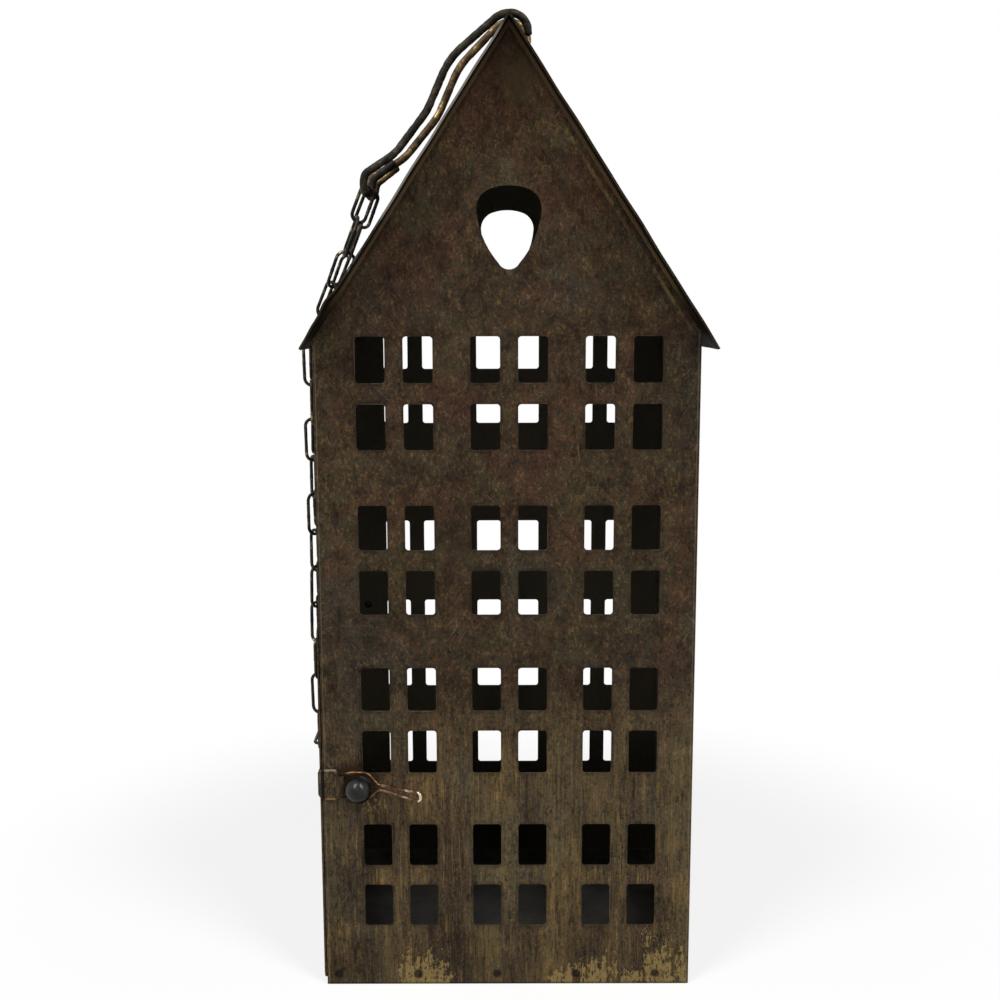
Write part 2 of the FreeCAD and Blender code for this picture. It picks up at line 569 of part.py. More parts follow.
for side, sign in (("upper", "+"), ("lower", "-")):
    edge = "latch_height %s strap_height / 2" % sign
    off = "latch_height %s %s" % (sign, BEYOND)
    arm = "latch_height %s strap_arm_height / 2" % sign
    roll = "latch_height %s knuckle_height / 2" % sign
    inset = "latch_height %s (strap_height / 2 - strap_corner)" % sign
    cut_through(strap, side + "_roll_trim", outline(
        strap, side + "_roll_trim_shape", "XZ_Plane", FRONT_OUT, [
            ("%s - strap_corner" % NECK_X, off), ("%s - strap_corner" % NECK_X, edge),
            (NECK_X, inset), (NECK_X, roll), (ROLL_X + " + " + BEYOND, roll),
            (ROLL_X + " + " + BEYOND, off),
        ]))
    doc.recompute()
    cut_through(strap, side + "_bend_trim", outline(
        strap, side + "_bend_trim_shape", "XZ_Plane", FRONT_OUT, [
            ("-%s - %s" % (ARM_OUT, BEYOND), arm), ("-" + ARM_OUT, arm),
            ("-%s + (strap_height - strap_arm_height) / 2" % ARM_OUT, edge),
            ("-%s + (strap_height - strap_arm_height) / 2" % ARM_OUT, off),
            ("-%s - %s" % (ARM_OUT, BEYOND), off),
        ]))
    doc.recompute()
    cut_through(strap, side + "_arm_trim", outline(
        strap, side + "_arm_trim_shape", "YZ_Plane", "-" + ARM_OUT, [
            ("%s - %s" % (OUTER_BEND, FRONT_OUT), arm), (ARM_END + " + " + BEYOND, arm),
            (ARM_END + " + " + BEYOND, off), ("%s - %s" % (OUTER_BEND, FRONT_OUT), off),
        ]))
    doc.recompute()


# Primitives for pins, rivets, leaves and the ball

def box(name, low, high):
    """A block between two corners, each given as three expressions on the sheet."""
    block = doc.addObject("Part::Box", name)
    for axis, length, start, end in zip("xyz", ("Length", "Width", "Height"), low, high):
        block.setExpression(length, bound("(%s) - (%s)" % (end, start)))
        block.setExpression("Placement.Base." + axis, bound(start))
    return block


def rod(name, radius, length, start, direction):
    """A round rod from a starting point along one of the axes."""
    cylinder = doc.addObject("Part::Cylinder", name)
    cylinder.setExpression("Radius", bound(radius))
    cylinder.setExpression("Height", bound(length))
    cylinder.Placement = Placement(Vector(0, 0, 0), Rotation(Vector(0, 0, 1), direction))
    for axis, expression in zip("xyz", start):
        cylinder.setExpression("Placement.Base." + axis, bound(expression))
    return cylinder


def fused(name, pieces):
    """Joins pieces into one solid."""
    union = doc.addObject("Part::MultiFuse", name)
    union.Shapes = pieces
    union.Refine = True
    return union


def drilled(name, piece, tool):
    """One piece with another taken out of it."""
    cut = doc.addObject("Part::Cut", name)
    cut.Base = piece
    cut.Tool = tool
    return cut


def dome(name, radius, height, start, direction):
    """A round head that starts flat at a point and bulges along one of the axes."""
    ball = "((%s * %s + %s * %s) / (2 * %s))" % (radius, radius, height, height, height)
    sphere = doc.addObject("Part::Sphere", name)
    sphere.setExpression("Radius", bound(ball))
    sphere.setExpression("Angle1", bound("asin((%s - %s) / %s)" % (ball, height, ball)))
    sphere.Placement = Placement(Vector(0, 0, 0), Rotation(Vector(0, 0, 1), direction))
    for axis, expression, part in zip("xyz", start, direction):
        sphere.setExpression("Placement.Base." + axis, bound(
            "%s - (%s - %s) * %d" % (expression, ball, height, round(part))))
    return sphere


TO_FRONT = Vector(0, -1, 0)
TO_BACK = Vector(0, 1, 0)
TO_LEFT = Vector(-1, 0, 0)
UP = Vector(0, 0, 1)
DOWN = Vector(0, 0, -1)


# Hinges: a leaf on the back wall and a leaf on the door, each rolled round half of the pin

def hinge(name, middle):
    """One hinge at the back left corner: two leaves and their pin."""
    low = "(%s - hinge_length / 2)" % middle
    high = "(%s + hinge_length / 2)" % middle
    lower_end = "(%s - knuckle_gap / 2)" % middle
    upper_end = "(%s + knuckle_gap / 2)" % middle
    rivet_x = "hinge_rivet_inset - body_width / 2"
    clear = "(%s + knuckle_gap)" % BARREL

    wall_plate = box(name + "_wall_plate", (
        "%s + %s" % (PIN_X, clear), "body_depth / 2", low), (
        "%s + leaf_width" % PIN_X, "body_depth / 2 + leaf_sheet", high))
    wall_strip = box(name + "_wall_strip", (PIN_X, "body_depth / 2", low), (
        "%s + %s" % (PIN_X, clear), "body_depth / 2 + leaf_sheet", lower_end))
    wall_roll = rod(name + "_wall_roll", BARREL, "%s - %s" % (lower_end, low), (
        PIN_X, PIN_Y, low), UP)
    bore_start = "%s - pin_head_height" % low
    bore_length = "hinge_length + 2 * pin_head_height"
    wall_bore = rod(name + "_wall_bore", "pin_radius + pin_clearance", bore_length, (
        PIN_X, PIN_Y, bore_start), UP)
    wall_rivet = rod(name + "_wall_rivet_hole", RIVET_HOLE, "2 * leaf_width", (
        rivet_x, "body_depth / 2 - leaf_width", middle), TO_BACK)
    rolled = fused(name + "_wall_leaf_blank", [wall_plate, wall_strip, wall_roll])
    bored = drilled(name + "_wall_leaf_bored", rolled, wall_bore)
    wall_leaf = drilled(name + "_wall_leaf", bored, wall_rivet)

    door_plate = box(name + "_door_plate", (
        "-%s - leaf_sheet" % DOOR_FACE, "%s - leaf_width" % PIN_Y, low), (
        "-" + DOOR_FACE, "%s - %s" % (PIN_Y, clear), high))
    door_strip = box(name + "_door_strip", (
        "-%s - leaf_sheet" % DOOR_FACE, "%s - %s" % (PIN_Y, clear), upper_end), (
        "-" + DOOR_FACE, PIN_Y, high))
    door_roll = rod(name + "_door_roll", BARREL, "%s - %s" % (high, upper_end), (
        PIN_X, PIN_Y, upper_end), UP)
    door_bore = rod(name + "_door_bore", "pin_radius + pin_clearance", bore_length, (
        PIN_X, PIN_Y, bore_start), UP)
    door_rivet = rod(name + "_door_rivet_hole", RIVET_HOLE, "2 * leaf_width", (
        "leaf_width - %s" % DOOR_FACE, "%s - %s" % (PIN_Y, RIVET_REACH), middle), TO_LEFT)
    rolled = fused(name + "_door_leaf_blank", [door_plate, door_strip, door_roll])
    bored = drilled(name + "_door_leaf_bored", rolled, door_bore)
    door_leaf = drilled(name + "_door_leaf", bored, door_rivet)

    shank = rod(name + "_pin_shank", "pin_radius", "hinge_length + 2 * seat_gap", (
        PIN_X, PIN_Y, "%s - seat_gap" % low), UP)
    top_head = dome(name + "_pin_top", "pin_head_radius", "pin_head_height", (
        PIN_X, PIN_Y, "%s + seat_gap" % high), UP)
    low_head = dome(name + "_pin_foot", "pin_head_radius", "pin_head_height", (
        PIN_X, PIN_Y, "%s - seat_gap" % low), DOWN)
    pin = fused(name + "_pin", [shank, top_head, low_head])
    return wall_leaf, door_leaf, pin


upper_wall_leaf, upper_door_leaf, upper_pin = hinge("upper_hinge", "hinge_upper")
lower_wall_leaf, lower_door_leaf, lower_pin = hinge("lower_hinge", "hinge_lower")


# Rivets: round heads that show, and shanks through the sheets that they hold

def rivet(name, inner, length, direction, both_heads):
    """A rivet from the inner face outwards, with its outer head and, if asked, an inner one."""
    outer = [inner[0], inner[1], inner[2]]
    step = [round(part) for part in direction]
    for axis in range(3):
        outer[axis] = "(%s) + %d * (%s)" % (inner[axis], step[axis], length)
    pieces = [rod(name + "_shank", "rivet_radius", length, inner, direction),
              dome(name + "_head", "rivet_head_radius", "rivet_head_height", outer, direction)]
    if both_heads:
        pieces.append(dome(name + "_tail", "rivet_head_radius", "rivet_head_height",
                           inner, direction * -1))
    return fused(name, pieces)


def group(name, pieces):
    """Several separate solids in one node."""
    compound = doc.addObject("Part::Compound", name)
    compound.Links = pieces
    return compound


hinge_wall_rivets = group("hinge_wall_rivets", [
    rivet("wall_rivet_%d" % index, (
        "hinge_rivet_inset - body_width / 2", "body_depth / 2 - wall_sheet", height),
        "wall_sheet + leaf_sheet", TO_BACK, True)
    for index, height in enumerate(HINGE_HEIGHTS)])
hinge_door_rivets = group("hinge_door_rivets", [
    rivet("door_rivet_%d" % index, (
        "door_sheet - %s" % DOOR_FACE, "%s - %s" % (PIN_Y, RIVET_REACH), height),
        "door_sheet + leaf_sheet", TO_LEFT, False)
    for index, height in enumerate(HINGE_HEIGHTS)])
strap_rivets = group("strap_rivets", [
    rivet("strap_rivet_%d" % index, (
        "door_sheet - %s" % DOOR_FACE, place, STRAP_MIDDLE),
        "door_sheet + strap_sheet", TO_LEFT, False)
    for index, place in enumerate(STRAP_RIVETS)])


# Latch ball on its stud: the stud passes through the front wall and is headed inside

whole_ball = doc.addObject("Part::Sphere", "ball_round")
whole_ball.setExpression("Radius", bound("ball_radius"))
for axis, expression in zip("xyz", (BALL_X, "-body_depth / 2 - ball_standoff", STRAP_MIDDLE)):
    whole_ball.setExpression("Placement.Base." + axis, bound(expression))
ball_back = box("ball_back", (
    "%s - ball_radius" % BALL_X, "ball_flat - body_depth / 2 - ball_standoff",
    "latch_height - ball_radius"), (
    "%s + ball_radius" % BALL_X, "ball_radius - body_depth / 2 - ball_standoff",
    "latch_height + ball_radius"))
latch_ball = drilled("latch_ball", whole_ball, ball_back)

COLLAR = "(ball_standoff - ball_flat)"
stud_shank = rod("stud_shank", "stud_radius", "wall_sheet + %s" % COLLAR, (
    BALL_X, "wall_sheet - body_depth / 2", STRAP_MIDDLE), TO_FRONT)
stud_collar = rod("stud_collar", "stud_collar_radius", COLLAR, (
    BALL_X, "-body_depth / 2", STRAP_MIDDLE), TO_FRONT)
stud_head = dome("stud_head", "stud_head_radius", "stud_head_height", (
    BALL_X, "wall_sheet - body_depth / 2", STRAP_MIDDLE), TO_BACK)
ball_stud = fused("ball_stud", [stud_shank, stud_collar, stud_head])


# Bent wire: straight runs joined by tangent bends, swept with a round section

def bent_wire(points, bends, radius, closed=False):
    """Sweeps a round wire along points. Each inner point has a bend radius. A closed wire has
    one bend for each point and starts half way along its last run."""
    corners = list(points)
    if closed:
        middle = (points[-1] + points[0]) * 0.5
        corners = [middle] + corners + [middle]
    edges = []
    here = corners[0]
    for index in range(1, len(corners) - 1):
        back = (corners[index - 1] - corners[index]).normalize()
        ahead = (corners[index + 1] - corners[index]).normalize()
        turn = math.pi - back.getAngle(ahead)
        bend = bends[index - 1]
        reach = bend * math.tan(turn / 2)
        start = corners[index] + back * reach
        end = corners[index] + ahead * reach
        inward = (back + ahead).normalize()
        depth = bend / math.cos(turn / 2) - bend
        if (start - here).Length > radius * TOUCHING_SHARE:
            edges.append(Part.LineSegment(here, start).toShape())
        edges.append(Part.Arc(start, corners[index] + inward * depth, end).toShape())
        here = end
    if (corners[-1] - here).Length > radius * TOUCHING_SHARE:
        edges.append(Part.LineSegment(here, corners[-1]).toShape())
    path = Part.Wire(edges)
    direction = corners[1] - corners[0]
    section = Part.Wire([Part.makeCircle(radius, corners[0], direction)])
    shape = path.makePipeShell([section], True, False)
    return shape, path.Length


TOUCHING_SHARE = 0.001


def solid_feature(label, shape):
    """Puts a finished shape into the document under its own name."""
    feature = doc.addObject("Part::Feature", label)
    feature.Label = label
    feature.Shape = shape
    return feature


# Latch loop: one wire bent to a bar in the strap's roll, a ring round the ball and a tail

TAIL_BEND_SHARE = 0.9
LOOP_PIVOT = Vector(value(ROLL_X), value(ROLL_Y), value(STRAP_MIDDLE))
bar_half = value("loop_bar / 2")
ring_half = value("loop_ring_height / 2")
pinch_half = value("loop_pinch_height / 2")
tail_half = value("loop_tail_height / 2")
half_loop = [
    (value("loop_length"), -value("loop_reach"), tail_half, tail_half * TAIL_BEND_SHARE),
    (value("loop_pinch"), -value("loop_pinch_reach"), pinch_half, value("loop_small_bend")),
    (value("loop_ring_end"), -value("loop_ring_reach"), ring_half, value("loop_ring_bend")),
    (value("loop_ring_start"), 0, ring_half, value("loop_small_bend")),
    (0, 0, bar_half, value("loop_small_bend") / 2),
]
other_half = [(x, y, -z, bend) for x, y, z, bend in reversed(half_loop)]
whole_loop = half_loop + other_half
loop_shape, loop_path = bent_wire(
    [LOOP_PIVOT + Vector(x, y, z) for x, y, z, bend in whole_loop],
    [bend for x, y, z, bend in whole_loop], value("loop_wire / 2"), closed=True)
latch_loop = solid_feature("latch_loop", loop_shape)


# Hooks: thick wire over the ridge, a long bowed shank down the left slope, a turned-up eye

HOOK_X_SHARES = (-0.052, -0.41, -0.565, -0.79, -0.985, -1)
HOOK_Z_SHARES = (0, -0.25, -0.54, -0.78, -0.905, -1)
HOOK_BEND_SHARES = (0.14, 0.42, 0.34, 0.3, 0.06)
TIP_DROP_SHARE = 1.25
TIP_LEAN_SHARE = 1.1
RETURN_END_SHARES = (-0.82, -0.8)

wire_top = Vector(value("centre_shift"), 0, value(
    "ridge_height + hook_rest_gap + hook_wire / 2"))
hook_length = value("hook_length")
hook_reach = value("hook_reach")
hook_bend = value("hook_bend")
eye_width = value("eye_width")


def hook_points(y):
    """The hook's corners and bend radii, from its tip right of the ridge to its eye's end."""
    def place(x, z, along=0.0):
        return Vector(wire_top.x + x, y + along, wire_top.z + z)
    points = [place(hook_bend * TIP_LEAN_SHARE, -hook_bend * TIP_DROP_SHARE), place(hook_bend, 0)]
    bends = [hook_bend]
    for x_share, z_share in zip(HOOK_X_SHARES, HOOK_Z_SHARES):
        points.append(place(hook_reach * x_share, hook_length * z_share))
    bends += [hook_length * share for share in HOOK_BEND_SHARES]
    bends += [eye_width / 2, eye_width / 2]
    for x_share, z_share in zip(reversed(HOOK_X_SHARES[-2:]), reversed(HOOK_Z_SHARES[-2:])):
        points.append(place(hook_reach * x_share, hook_length * z_share, eye_width))
    bends.append(hook_length * HOOK_BEND_SHARES[-1])
    end_x, end_z = RETURN_END_SHARES
    points.append(place(hook_reach * end_x, hook_length * end_z, eye_width))
    return points, bends


def hook(label, y):
    """One hook. It gives the middle of its eye's round bottom and the way the shank leaves it."""
    points, bends = hook_points(y)
    shape, length = bent_wire(points, bends, value("hook_wire / 2"))
    solid_feature(label, shape)
    corner = 1 + len(HOOK_X_SHARES)
    shank = (points[corner - 1] - points[corner]).normalize()
    return (points[corner] + points[corner + 1]) * 0.5 + shank * (eye_width / 2), shank


def eye_seat(middle, shank, turn):
    """The middle of the eye's wire where a chain that comes from the turn pulls on it."""
    sideways = shank.cross(Vector(0, 1, 0))
    pull = turn - middle
    pull = pull - sideways * pull.dot(sideways)
    return middle + pull.normalize() * (eye_width / 2)


front_hook_y = value("front_hook_inset - roof_overhang - body_depth / 2")
front_eye = hook("hook_front", front_hook_y)
rear_eye = hook("hook_rear", front_hook_y + value("hook_pitch"))


# Chain: oval links, each a quarter turn and a little more from the one before

wire = value("chain_wire")
play = value("link_clearance")
pitch = value("chain_pitch")
link_length = pitch + 2 * wire + play
strand_gap = link_length - wire
QUARTER = math.pi / 2


def link(centre, along, across, length):
    """One oval link: its long way runs along, its width across."""
    width_half = (value("link_width") - wire) / 2
    straight_half = (length - value("link_width")) / 2
    ends = [centre + along * (straight_half * a) + across * (width_half * b)
            for a, b in ((-1, 1), (1, 1), (1, -1), (-1, -1))]
    far = centre + along * (straight_half + width_half)
    near = centre - along * (straight_half + width_half)
    path = Part.Wire([
        Part.LineSegment(ends[0], ends[1]).toShape(), Part.Arc(ends[1], far, ends[2]).toShape(),
        Part.LineSegment(ends[2], ends[3]).toShape(), Part.Arc(ends[3], near, ends[0]).toShape(),
    ])
    section = Part.Wire([Part.makeCircle(wire / 2, ends[0], along)])
    return path.makePipeShell([section], True, False)


def strand_links(start, end, turns, outward, last_length=None):
    """Links from start to end, one for each of the angles in turns, from the outward direction.
    The last one may have a length of its own."""
    along = (end - start).normalize()
    normal = outward - along * outward.dot(along)
    normal.normalize()
    side = Vector(0, 1, 0) - along * along.y - normal * normal.y
    side.normalize()
    shapes = []
    here = start
    for index, angle in enumerate(turns):
        length = link_length
        if last_length is not None and index == len(turns) - 1:
            length = last_length
        step = length - 2 * wire - play
        across = normal * math.cos(angle) + side * math.sin(angle)
        shapes.append(link(here + along * (step / 2), along, across, length))
        here = here + along * step
    return shapes


OUTWARD = Vector(-1, 0, 0)
ROOF_NORMAL = Vector(value("-" + SLOPE), 0, 1).normalize()
ROOF_LIFT = "(link_width / 2 - chain_wire / 4)"
eave_x = value("centre_shift - %s - chain_offset" % HALF_SPAN)
eave_z = value("eave_height - %s * chain_offset + %s * %s" % (SLOPE, ROOF_LIFT, STEEPNESS))
strand_y = (value("chain_front - body_depth / 2"), value("chain_front - body_depth / 2") + strand_gap)
upper_count = int((eave_z - value("door_top + link_clearance") - wire - play) / pitch)
lower_count = HANGING_LINK_COUNT - upper_count

# The lowest links hang square to the link that joins them, the highest ones to the eaves, and
# the links between them take up a spare quarter turn.
spare = QUARTER * (HANGING_LINK_COUNT % 2) / (HANGING_LINK_COUNT - 1)
HANGING_TURNS = [QUARTER * (number + 1) + spare * number for number in range(HANGING_LINK_COUNT)]

lower_links = []
for name, y, eye in (("front", strand_y[0], front_eye), ("rear", strand_y[1], rear_eye)):
    turn = Vector(eave_x, y, eave_z)
    seat = eye_seat(eye[0], eye[1], turn)
    to_eye = (seat - turn).normalize()
    top = seat + to_eye * value("(hook_wire + link_clearance) / 2")
    run = (top - turn).Length
    roof_count = round(run / pitch) - 1
    end_length = run - roof_count * pitch + 2 * wire + play
    # The first roof link lies flat and the end link stands square to the hook's eye, so the
    # links between them take up a spare quarter turn.
    spare = QUARTER * ((roof_count + 1) % 2) / max(roof_count, 1)
    roof_turns = [QUARTER * (index + 1) + spare * index for index in range(roof_count + 1)]
    on_roof = strand_links(turn, top, roof_turns, ROOF_NORMAL, end_length)
    bottom = turn - Vector(0, 0, HANGING_LINK_COUNT * pitch)
    hanging = strand_links(bottom, turn, HANGING_TURNS, OUTWARD)
    solid_feature("end_link_" + name, on_roof[-1])
    solid_feature("chain_roof_" + name, Part.makeCompound(on_roof[:-1]))
    solid_feature("chain_side_" + name, Part.makeCompound(hanging[lower_count:]))
    lower_links += hanging[:lower_count]

bottom_z = eave_z - HANGING_LINK_COUNT * pitch + (wire + play) / 2
lower_links.append(link(
    Vector(eave_x, (strand_y[0] + strand_y[1]) / 2, bottom_z), Vector(0, 1, 0),
    Vector(1, 0, 0), link_length))
solid_feature("chain_loop_end", Part.makeCompound(lower_links))


# The nodes, with the number of separate solids that each one holds

NODES = {
    "front_wall": 1, "back_wall": 1, "right_wall": 1, "left_wall": 1, "roof": 1, "base_tray": 1,
    "door": 1, "upper_hinge_wall_leaf": 1, "lower_hinge_wall_leaf": 1,
    "upper_hinge_door_leaf": 1, "lower_hinge_door_leaf": 1, "upper_hinge_pin": 1,
    "lower_hinge_pin": 1, "hinge_wall_rivets": len(HINGE_HEIGHTS),
    "hinge_door_rivets": len(HINGE_HEIGHTS), "latch_strap": 1, "strap_rivets": len(STRAP_RIVETS),
    "latch_loop": 1, "latch_ball": 1, "ball_stud": 1, "hook_front": 1, "hook_rear": 1,
    "end_link_front": 1, "end_link_rear": 1, "chain_roof_front": roof_count,
    "chain_roof_rear": roof_count, "chain_side_front": upper_count,
    "chain_side_rear": upper_count, "chain_loop_end": 2 * lower_count + 1,
}

doc.recompute()
for item in doc.Objects:
    if "Invalid" in item.State or "Error" in item.State:
        raise RuntimeError("%s failed: %s" % (item.Label, item.State))
os.makedirs("parts", exist_ok=True)
for label, solids in NODES.items():
    shape = doc.getObjectsByLabel(label)[0].Shape
    if shape.isNull() or not shape.isValid() or len(shape.Solids) != solids:
        raise RuntimeError("%s is not valid: %d solids" % (label, len(shape.Solids)))
    if min(solid.Volume for solid in shape.Solids) <= 0:
        raise RuntimeError("%s has no volume" % label)
for label in NODES:
    doc.getObjectsByLabel(label)[0].Shape.exportStep("parts/%s.step" % label)
loop_volume = math.pi * value("loop_wire / 2") ** 2 * loop_path
print("loop volume against wire length", round(latch_loop.Shape.Volume / loop_volume, 4))
print("latch pivot", LOOP_PIVOT)
print("hinge pin", value(PIN_X), value(PIN_Y))
print("chain turn", eave_x, eave_z, "strands", strand_y, "upper links", upper_count)
print("nodes", len(NODES), "solids", sum(NODES.values()))
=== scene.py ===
import json
import math

import bmesh
import bpy
import numpy as np
from mathutils import Matrix, Vector


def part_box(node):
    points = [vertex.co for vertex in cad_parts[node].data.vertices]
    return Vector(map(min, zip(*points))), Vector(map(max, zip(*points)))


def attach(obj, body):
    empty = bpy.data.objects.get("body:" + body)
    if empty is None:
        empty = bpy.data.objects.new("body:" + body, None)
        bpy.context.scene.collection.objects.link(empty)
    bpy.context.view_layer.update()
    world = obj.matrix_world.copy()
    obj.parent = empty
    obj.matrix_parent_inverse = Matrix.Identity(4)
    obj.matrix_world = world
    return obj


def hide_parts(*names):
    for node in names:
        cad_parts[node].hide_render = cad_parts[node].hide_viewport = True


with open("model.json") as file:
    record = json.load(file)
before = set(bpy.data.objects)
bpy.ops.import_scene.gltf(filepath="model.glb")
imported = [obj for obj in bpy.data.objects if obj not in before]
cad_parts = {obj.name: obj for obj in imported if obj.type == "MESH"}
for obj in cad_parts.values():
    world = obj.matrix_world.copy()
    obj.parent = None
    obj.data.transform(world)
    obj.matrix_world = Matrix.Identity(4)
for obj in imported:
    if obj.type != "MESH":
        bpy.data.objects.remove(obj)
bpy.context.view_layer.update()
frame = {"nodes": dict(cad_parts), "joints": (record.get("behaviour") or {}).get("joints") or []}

MM = 0.001

# Camera
# It stands close before the lantern, above its middle, and looks slightly down, so the windows
# of the back wall show shifted in those of the front wall.
CAMERA_EYE = (-2.355 * MM, -540.745 * MM, 277.193 * MM)
CAMERA_TILT = math.radians(8.6857)
CAMERA_YAW = math.radians(-0.04695)
CAMERA_ROLL = math.radians(-0.14201)
SENSOR_WIDTH = 36.0
FOCAL_SHARE = 1.24133

ahead = Vector((math.sin(CAMERA_YAW) * math.cos(CAMERA_TILT),
                math.cos(CAMERA_YAW) * math.cos(CAMERA_TILT), -math.sin(CAMERA_TILT)))
level_right = Vector((math.cos(CAMERA_YAW), -math.sin(CAMERA_YAW), 0))
level_up = level_right.cross(ahead)
right = level_right * math.cos(CAMERA_ROLL) + level_up * math.sin(CAMERA_ROLL)
upward = level_up * math.cos(CAMERA_ROLL) - level_right * math.sin(CAMERA_ROLL)
camera = bpy.data.objects.new("camera", bpy.data.cameras.new("camera"))
bpy.context.scene.collection.objects.link(camera)
turned = Matrix((right, upward, -ahead)).transposed()
camera.matrix_world = Matrix.Translation(CAMERA_EYE) @ turned.to_4x4()
camera.data.sensor_fit = "HORIZONTAL"
camera.data.sensor_width = SENSOR_WIDTH
camera.data.lens = FOCAL_SHARE * SENSOR_WIDTH
camera.data.clip_start = 10 * MM
bpy.context.scene.camera = camera
bpy.context.scene.view_settings.view_transform = "Standard"


# Walls, tray, door and hinge leaves
# Sheet tin, punched, folded and spot-welded, with filed edges, then dipped to a brown patina:
# mottled with rust and olive above, brushed to ochre below, flaked to bare gold at the foot.
class Mark:
    """A socket that can be added, multiplied and compared as a number can, so that sums of
    noise and distances are written as Python expressions."""

    def __init__(self, finish, socket):
        self.finish = finish
        self.socket = socket

    def math(self, operation, other=0.0, first=True):
        pair = (self, other) if first else (other, self)
        return self.finish.node(
            "ShaderNodeMath", {"operation": operation}, {0: pair[0], 1: pair[1]})

    def __add__(self, other):
        return self.math("ADD", other)

    __radd__ = __add__

    def __sub__(self, other):
        return self.math("SUBTRACT", other)

    def __rsub__(self, other):
        return self.math("SUBTRACT", other, first=False)

    def __mul__(self, other):
        return self.math("MULTIPLY", other)

    __rmul__ = __mul__

    def __truediv__(self, other):
        return self.math("DIVIDE", other)

    def __abs__(self):
        return self.math("ABSOLUTE")

    def least(self, other):
        return self.math("MINIMUM", other)

    def most(self, other):
        return self.math("MAXIMUM", other)

    def rounded(self):
        return self.math("ROUND")

    def rise(self, low, high):
        """Goes smoothly from 0 at low to 1 at high."""
        return self.finish.node(
            "ShaderNodeMapRange", {"interpolation_type": "SMOOTHSTEP"},
            {0: self, 1: low, 2: high, 3: 0.0, 4: 1.0})

    def fall(self, low, high):
        """Goes smoothly from 1 at low to 0 at high."""
        return 1 - self.rise(low, high)


def apart(across, upright):
    """The distance that two offsets make: the root of the sum of their squares."""
    return (across * across + upright * upright).math("SQRT")


class Finish:
    """A material in the making. Its patterns lie in the piece's own coordinates."""

    def __init__(self, name):
        self.material = bpy.data.materials.new(name)
        self.material.use_nodes = True
        self.tree = self.material.node_tree
        self.tree.nodes.clear()
        self.shader = self.tree.nodes.new("ShaderNodeBsdfPrincipled")
        self.output = self.tree.nodes.new("ShaderNodeOutputMaterial")
        self.tree.links.new(self.shader.outputs[0], self.output.inputs[0])
        self.place = self.node("ShaderNodeTexCoord", {}, {}, "Object")

    def node(self, kind, settings, sockets, output=0):
        """Adds a node, with its settings and a value or a mark for each of its sockets."""
        made = self.tree.nodes.new(kind)
        for key, setting in settings.items():
            setattr(made, key, setting)
        for key, given in sockets.items():
            if isinstance(given, Mark):
                self.tree.links.new(given.socket, made.inputs[key])
            else:
                made.inputs[key].default_value = given
        return Mark(self, made.outputs[output])

    def axes(self):
        """The three coordinates of the piece's own place, in metres."""
        return [self.node("ShaderNodeSeparateXYZ", {}, {0: self.place}, axis)
                for axis in range(3)]

    def stretched(self, scale, turn=(0.0, 0.0, 0.0), shift=0.0):
        """The place turned and stretched, for a pattern that runs one way. A shift in metres
        moves it to another part of the noise."""
        turned_place = self.node(
            "ShaderNodeMapping", {},
            {"Vector": self.place, "Rotation": turn, "Location": (shift, shift, shift)})
        return self.node("ShaderNodeVectorMath", {"operation": "MULTIPLY"},
                         {0: turned_place, 1: scale})

    def noise(self, size, detail=3.0, roughness=0.55, place=None, distortion=0.0):
        """Noise from 0 to 1 whose spots are about as large as size, in metres."""
        return self.node(
            "ShaderNodeTexNoise", {},
            {"Vector": place or self.place, "Scale": 0.5 / size, "Detail": detail,
             "Roughness": roughness, "Distortion": distortion})

    def mix(self, share, first, second):
        """The first colour where share is 0, the second where it is 1."""
        return self.node("ShaderNodeMix", {"data_type": "RGBA"}, {0: share, 6: first, 7: second},
                         2)

    def shade(self, tone, factor):
        """A colour made lighter or darker by a factor."""
        return self.node("ShaderNodeVectorMath", {"operation": "SCALE"},
                         {0: tone if isinstance(tone, Mark) else tone[:3], "Scale": factor})

    def relief(self, height, depth, under=None):
        """A normal that is tilted by a height from 0 to 1, depth metres deep."""
        sockets = {"Height": height, "Distance": depth, "Strength": 1.0}
        if under:
            sockets["Normal"] = under
        return self.node("ShaderNodeBump", {}, sockets)

    def wear(self, **given):
        """Sets the shader's sockets, each named in words, to a value or a mark."""
        for key, mark in given.items():
            socket = self.shader.inputs[key.replace("_", " ").title().replace("Ior", "IOR")]
            if isinstance(mark, Mark):
                self.tree.links.new(mark.socket, socket)
            else:
                socket.default_value = mark
        return self.material


def colour(red, green, blue):
    """A colour given as it shows on a screen, from 0 to 255, as the shader needs it."""
    shares = np.array((red, green, blue)) / 255.0
    linear = np.where(shares <= 0.04045, shares / 12.92, ((shares + 0.055) / 1.055) ** 2.4)
    return (*linear.tolist(), 1.0)


UMBER = colour(47, 37, 26)
RUST = colour(57, 38, 28)
OLIVE = colour(50, 45, 31)
STEEL_GREY = colour(46, 43, 36)
GOLD_FLECK = colour(112, 90, 50)
RUST_FLECK = colour(92, 54, 34)
GREY_FLECK = colour(92, 90, 74)
SOOT = colour(20, 17, 13)
LOW_BROWN = colour(60, 50, 38)
LOW_OCHRE = colour(80, 67, 44)
LOW_OLIVE = colour(62, 59, 46)
PALE = colour(128, 118, 98)


def scratches(finish, turn, size, shift, cover=0.5):
    """Short fine scratches that run one way, few and scattered: noise stretched twenty times,
    kept where it is high and a broader noise is high too."""
    line = finish.noise(size, 1, 0.5, finish.stretched((1, 1, 0.05), turn=turn, shift=shift))
    patch = finish.noise(9 * MM, 2, 0.5, finish.stretched((1, 1, 1), shift=-shift))
    return line.rise(0.68, 0.76) * patch.rise(cover, cover + 0.14)


